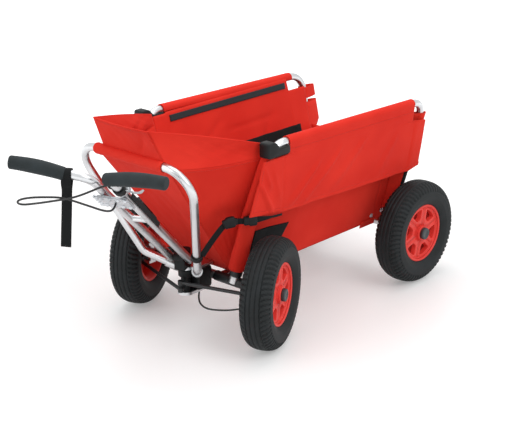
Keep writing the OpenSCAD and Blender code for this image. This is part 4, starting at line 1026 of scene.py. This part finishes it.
# black sleeves on the front beam's halves, with drawn-in ends, and boots round the posts' feet
beamSleeve = {"start": (0.046, -0.3155, 0.15), "length": 0.138, "bore": 0.0125, "radius": 0.0141, "chamfer": 0.0006,
              "edges": (0.0002, 0.0012)}
boot = {"foot": (0.1202, -0.3198, 0.172), "way": (0.083, 0.0153, 0.287), "profile": [
    (0.0146, 0.021), (0.0164, 0.02), (0.0172, 0.017), (0.0172, 0.0016), (0.0166, 0.0004), (0.0146, 0.0)]}
drawnIn, reach = beamSleeve["radius"] - beamSleeve["chamfer"], beamSleeve["length"]
edge, corner = beamSleeve["edges"]
sleeveProfile = [(beamSleeve["bore"], reach), (drawnIn, reach - edge), (beamSleeve["radius"], reach - corner),
                 (beamSleeve["radius"], corner), (drawnIn, edge), (beamSleeve["bore"], 0)]
bothSides("beamSleeve", joinParts([turnProfile(sleeveProfile, beamSleeve["start"], sideways, sides=40),
                                   turnProfile(boot["profile"], boot["foot"], boot["way"], sides=36)]),
          "coated", outward=True)


# handles: foam grips on arched paths with rounded ends; the left one lies on a crossbar
tilt = math.radians(38.6)
rise = heading * math.cos(tilt) + np.array([0, 0, math.sin(tilt)])
barUp = np.cross(rise, across)
barUp = barUp if barUp[2] > 0 else -barUp
tiltPin = np.array([0.016073, -0.424303, 0.225])
bar = {"gap": 0.052, "length": 0.56, "turn": math.radians(72), "gripFrom": 0.06, "crossbarUp": 0.01,
       "crossbarBack": 0.0142, "crossbarTurn": math.radians(82)}
gripForm = {"radius": 0.0165, "round": 0.005, "waist": 0.0007, "rows": 64, "sides": 36}


# a point of the drawbar's left (1) or right (-1) tube, so far up from the tilt pin
def barPoint(side, at):
    return tiltPin + across * (side * bar["gap"] / 2) + rise * at


handleWay = rise * math.cos(bar["turn"]) - across * math.sin(bar["turn"])
crossbarWay = rise * math.cos(bar["crossbarTurn"]) + across * math.sin(bar["crossbarTurn"])
crossbar = barPoint(1, bar["length"] + bar["crossbarUp"]) - crossbarWay * bar["crossbarBack"]
handle = barPoint(-1, bar["length"]) + handleWay * bar["gripFrom"]
grips = {"Left": {"start": crossbar, "way": crossbarWay, "length": 0.1604, "arch": 0.0045, "sink": 0.0012},
         "Right": {"start": handle, "way": handleWay, "length": 0.1305, "arch": 0.0035, "sink": 0.002}}
for name, g in grips.items():
    s = g["length"] * (0.5 - 0.5 * np.cos(np.linspace(0, math.pi, gripForm["rows"])))
    edge = np.clip(1 - np.minimum(s, g["length"] - s) / gripForm["round"], 0, 1)
    radius = (gripForm["radius"] - gripForm["round"] * (1 - np.sqrt(1 - edge ** 2))
              - gripForm["waist"] * np.cos(2 * math.pi * s / g["length"]))
    lift = g["arch"] * (1 - (2 * s / g["length"] - 1) ** 2) - g["sink"]
    path = g["start"] + s[:, None] * g["way"] + lift[:, None] * upward
    rings = radius[:, None, None] * circleProfile(1.0, gripForm["sides"])[None]
    makePiece("grip" + name, carryProfile(path, rings, upward), "foam", "drawbar",
              ["grip_" + name.lower()])


# brake lever: a clamp round the left tube, a pivot block and a tapered blade that bends away; a black stop for the
# cable; points lie across the bar, along it and up from it
lever = {"at": 0.5, "blade": [(0.008, 0.003, 0.008), (0.016, 0.0, 0.003), (0.032, -0.001, -0.0005),
                              (0.047, 0.002, 0.0), (0.0575, 0.008, 0.005)],
         "section": (0.0105, 0.005), "taper": ([0, 0.3, 0.85, 1], [1.0, 0.8, 0.75, 0.45]), "samples": 40,
         "root": (0.0165, 0.004, 0.004), "rootHalves": (0.006, 0.008, 0.0062)}
leverClamp = {"block": (0.0, 0.01, 0.0165), "halves": (0.009, 0.0095, 0.0055), "power": 6.0, "profile": [
    (0.0112, 0.0), (0.0112, 0.02), (0.0146, 0.02), (0.0153, 0.018), (0.0153, 0.002), (0.0146, 0.0), (0.0112, 0.0)]}
cableStop = {"place": (0.1822, -0.7985, 0.5518), "halves": (0.0062, 0.0085, 0.0062), "power": 4.0}
leverFoot = barPoint(1, lever["at"])
leverAxes = np.array([across, rise, barUp])
bladePath = leverFoot + curveThrough(lever["blade"], lever["samples"]) @ leverAxes
bladeWide = np.interp(np.linspace(0, 1, lever["samples"]), *lever["taper"])
bladeRings = bandProfile(*lever["section"], sides=18, power=4.0)[None] * bladeWide[:, None, None]
makePiece("leverClamp", joinParts([
    turnProfile(leverClamp["profile"], leverFoot, rise, sides=36),
    roundedBlock(leverFoot + leverClamp["block"] @ leverAxes, leverAxes, leverClamp["halves"], leverClamp["power"])]),
    "nylon", "drawbar", outward=True)
makePiece("brakeLever", joinParts([
    carryProfile(bladePath, bladeRings, barUp),
    roundedBlock(leverFoot + lever["root"] @ leverAxes, leverAxes, lever["rootHalves"])]),
    "casting", "drawbar", ["brake_lever"], outward=True)
makePiece("cableStop", roundedBlock(cableStop["place"], leverAxes, cableStop["halves"], cableStop["power"]), "nylon",
          "drawbar")


# flat black band along the left drawbar tube
barBand = {"from": 0.27, "to": 0.475, "aside": (0.0128, 0.0175), "width": 0.013, "thickness": 0.0022, "samples": 40}
first, last = [barPoint(1, barBand[end]) + across * off for end, off in zip(("from", "to"), barBand["aside"])]
bandPath = straightEdge(first, last, barBand["samples"])
bandSection = bandProfile(barBand["thickness"], barBand["width"], sides=16)
makePiece("drawbarBand", carryProfile(bandPath, bandSection, barUp), "webbing", "drawbar")


# wrist strap: one loop of webbing over the right handle, its two layers sewn together as they hang
wrist = {"at": 0.0552, "width": 0.024, "thickness": 0.002, "from": 0.02, "drop": 0.176, "over": 0.0128, "gap": 0.0012,
         "closing": 0.012, "spread": 0.8, "sway": 0.002, "swayRate": 26, "lean": 0.0575, "wrap": (-35, 215),
         "overSamples": 28, "hangSamples": 40}
hook = barPoint(-1, bar["length"]) + handleWay * wrist["at"]
aside = unit(np.cross(handleWay, upward))
over = np.linspace(*np.radians(wrist["wrap"]), wrist["overSamples"])
arc = np.stack([wrist["over"] * np.cos(over), wrist["over"] * np.sin(over)], -1)
hang = np.linspace(wrist["from"], wrist["drop"], wrist["hangSamples"])
opening = np.exp(-((hang - wrist["from"]) / wrist["closing"]) ** 2)
close = wrist["gap"] + (wrist["over"] * wrist["spread"] - wrist["gap"]) * opening
sway = wrist["sway"] * np.sin(hang * wrist["swayRate"])
loop = np.concatenate([np.stack([close + sway, -hang], -1)[::-1], arc, np.stack([-close + sway, -hang], -1)])
level = unit(handleWay * [1, 1, 0])
loopPath = hook + loop[:, :1] * aside + loop[:, 1:] * upward - np.minimum(loop[:, 1:], 0) * wrist["lean"] * level
wristSection = bandProfile(wrist["thickness"], wrist["width"], sides=18)
makePiece("wristStrap", carryProfile(loopPath, wristSection, level), "webbing", "drawbar",
          ["wrist_strap"])
print("stage: drawbar fittings made")


# round-headed bolts: a dome on a washer, turned about the way that each one points; on the walls' foot and under the
# handle plate, which also has barrel nuts along its outer edge
bolt = {"sides": 20, "head": [(0.0, 0.0042), (0.003, 0.0038), (0.0044, 0.0024), (0.0046, 0.001), (0.0066, 0.0008),
                              (0.0066, -0.001), (0.0, -0.001)],
        "wall": np.array([(0.1275, 0.301, 0.192), (0.1245, 0.256, 0.185)]), "wallWay": np.array([1, 0, -0.25]),
        "plate": tiltPin + rise * 0.455 - barUp * 0.0171, "plateX": (-0.03, -0.01, 0.012, 0.03),
        "plateY": (-0.02, 0.02)}
nut = {"sides": 18, "at": (0.43, 0.446, 0.462, 0.478), "edge": tiltPin - across * 0.0365 - barUp * 0.0142, "profile": [
    (0, 0.0142), (0.0022, 0.014), (0.004, 0.0132), (0.0047, 0.0116), (0.0047, 0.0006), (0.0042, 0), (0, 0)]}
wallBolts = [turnProfile(bolt["head"], place * side, bolt["wallWay"] * side, bolt["sides"])
             for side in (np.ones(3), mirrorX) for place in bolt["wall"]]
plateBolts = [turnProfile(bolt["head"], bolt["plate"] + across * x + rise * y, -barUp, bolt["sides"])
              for x in bolt["plateX"] for y in bolt["plateY"]]
nuts = [turnProfile(nut["profile"], nut["edge"] + rise * at, -across, nut["sides"]) for at in nut["at"]]
makePiece("boltsChassis", joinParts(wallBolts), "zinc", "chassis", outward=True)
makePiece("boltsDrawbar", joinParts(plateBolts + nuts), "zinc", "drawbar", outward=True)


# rows of stitches: short six-sided loaves laid end to end along a path, all worked out at once
stitch = {"pitch": 0.006, "length": 0.0044, "width": 0.0011, "height": 0.0008, "look": 0.001,
          "along": np.array([-0.5, -0.3, 0.3, 0.5]), "size": np.array([0.35, 1.0, 1.0, 0.35])}


# loaves at even steps: rings of six points about each step's direction, small at both ends
def stitchRow(path, out):
    middles = np.arange(stitch["pitch"], runLengths(path)[-1] - stitch["pitch"], stitch["pitch"])
    at = pointsAt(path, middles)
    ahead = unit(pointsAt(path, middles + stitch["look"]) - at)
    out = unit(np.broadcast_to(np.asarray(out, float), at.shape))
    aside = unit(np.cross(ahead, out))
    along = (stitch["along"] * stitch["length"])[:, None, None, None]
    turn = roundAngles(6)[:, None, None]
    ring = np.cos(turn) * aside * stitch["width"] / 2 + np.sin(turn) * out * stitch["height"]
    loaf = at + along * ahead + stitch["size"][:, None, None, None] * ring[None]
    return joinParts([gridPart(grid, loopCols=True) for grid in closeEnds(loaf).transpose(2, 0, 1, 3)])


sewing = {"above": 0.0115, "behind": 0.008, "off": 0.0018, "offTube": 0.0016, "under": 6, "below": 8, "lipShare": 0.8,
          "offLip": np.array([0.0, -0.0016, 0.0]), "offSeam": np.array([0.0018, -0.0012, -0.006]),
          "lipOut": (0, -1, 0.3), "seamOut": (0.95, -0.3, -0.1)}
firstRow = flap["sleeveRows"]
flapRows = [flapCloth[-1] - sewing["above"] * flap["hang"] + sewing["off"] * flapOut,
            flapCloth[firstRow + sewing["under"]] + sewing["offTube"] * flapOut,
            flapCloth[firstRow + sewing["below"]:-2, 0] + flap["along"] * sewing["behind"] + sewing["off"] * flapOut]
bothSides("flapStitches", joinParts([stitchRow(row, flapOut) for row in flapRows]), "thread")
lipRow = lipGrid[-1] + (lipGrid[-4] - lipGrid[-1]) * sewing["lipShare"] + sewing["offLip"]
makePiece("lipStitches", stitchRow(lipRow, sewing["lipOut"]), "thread", "chassis")
bothSides("seamStitches", stitchRow(seam + sewing["offSeam"], sewing["seamOut"]), "thread")


# studio: pale floor that shows white to the camera and keeps the shadow, soft lamps and an even sky
studio = {"floor": "#e6e6e6", "half": 40, "lift": 0.26, "farLift": 0.75, "near": 0.7, "far": 2.6, "sky": 0.62}
lamps = {"key": {"watts": 54.0, "place": (3.2, -0.2, 3.0), "size": 2.6, "aim": (0.1, 0.0, 0.3)},
         "top": {"watts": 49.0, "place": (-0.4, 0.2, 3.6), "size": 3.2, "aim": (0.0, 0.0, 0.2)},
         "fill": {"watts": 29.0, "place": (-1.2, -3.4, 1.9), "size": 2.4, "aim": (0.0, -0.2, 0.3)}}


# one for rays from the camera, also by way of a mirror or glass, and zero for the rest
def seenRays(tree):
    rays = addNode(tree, "ShaderNodeLightPath")
    seen = rays.outputs["Is Camera Ray"]
    for kind in ("Is Glossy Ray", "Is Transmission Ray"):
        links = {0: seen, 1: rays.outputs[kind]}
        seen = addNode(tree, "ShaderNodeMath", {"operation": "MAXIMUM"}, links).outputs["Value"]
    return seen


half = studio["half"]
floorMesh = bpy.data.meshes.new("studioFloor")
floorMesh.from_pydata([(-half, -half, 0), (half, -half, 0), (half, half, 0), (-half, half, 0)], [], [(0, 1, 2, 3)])
floorPiece = bpy.data.objects.new("studioFloor", floorMesh)
scene.collection.objects.link(floorPiece)
material, tree, shader, place = startMaterial(
    "painted studio floor", {"Base Color": toLinear(studio["floor"]), "Roughness": 0.4, "Specular IOR Level": 0.2,
                             "Emission Color": (1, 1, 1, 1)})
away = addNode(tree, "ShaderNodeVectorMath", {"operation": "LENGTH"}, {0: place.outputs["Object"]})
lift = addNode(tree, "ShaderNodeMapRange", {"From Min": studio["near"], "From Max": studio["far"],
                                            "To Min": studio["lift"], "To Max": studio["farLift"]},
               {"Value": away.outputs["Value"]})
glow = addNode(tree, "ShaderNodeMath", {"operation": "MULTIPLY"}, {0: seenRays(tree), 1: lift.outputs["Result"]})
tree.links.new(glow.outputs["Value"], shader.inputs["Emission Strength"])
floorMesh.materials.append(material)

world = bpy.data.worlds.new("studio sky")
scene.world = world
world.use_nodes = True
tree = world.node_tree
tree.nodes.clear()
level = addNode(tree, "ShaderNodeMapRange", {"To Min": studio["sky"], "To Max": 1.0}, {"Value": seenRays(tree)})
sky = addNode(tree, "ShaderNodeBackground", {"Color": (1, 1, 1, 1)}, {"Strength": level.outputs["Result"]})
addNode(tree, "ShaderNodeOutputWorld", None, {"Surface": sky.outputs["Background"]})

for name, lamp in lamps.items():
    light = bpy.data.lights.new(name, "AREA")
    light.energy = lamp["watts"]
    light.shape = "SQUARE"
    light.size = lamp["size"]
    holder = bpy.data.objects.new(name + "Lamp", light)
    holder.location = lamp["place"]
    holder.rotation_euler = (Vector(lamp["place"]) - Vector(lamp["aim"])).to_track_quat("Z", "Y").to_euler()
    scene.collection.objects.link(holder)
print("stage: studio lit")
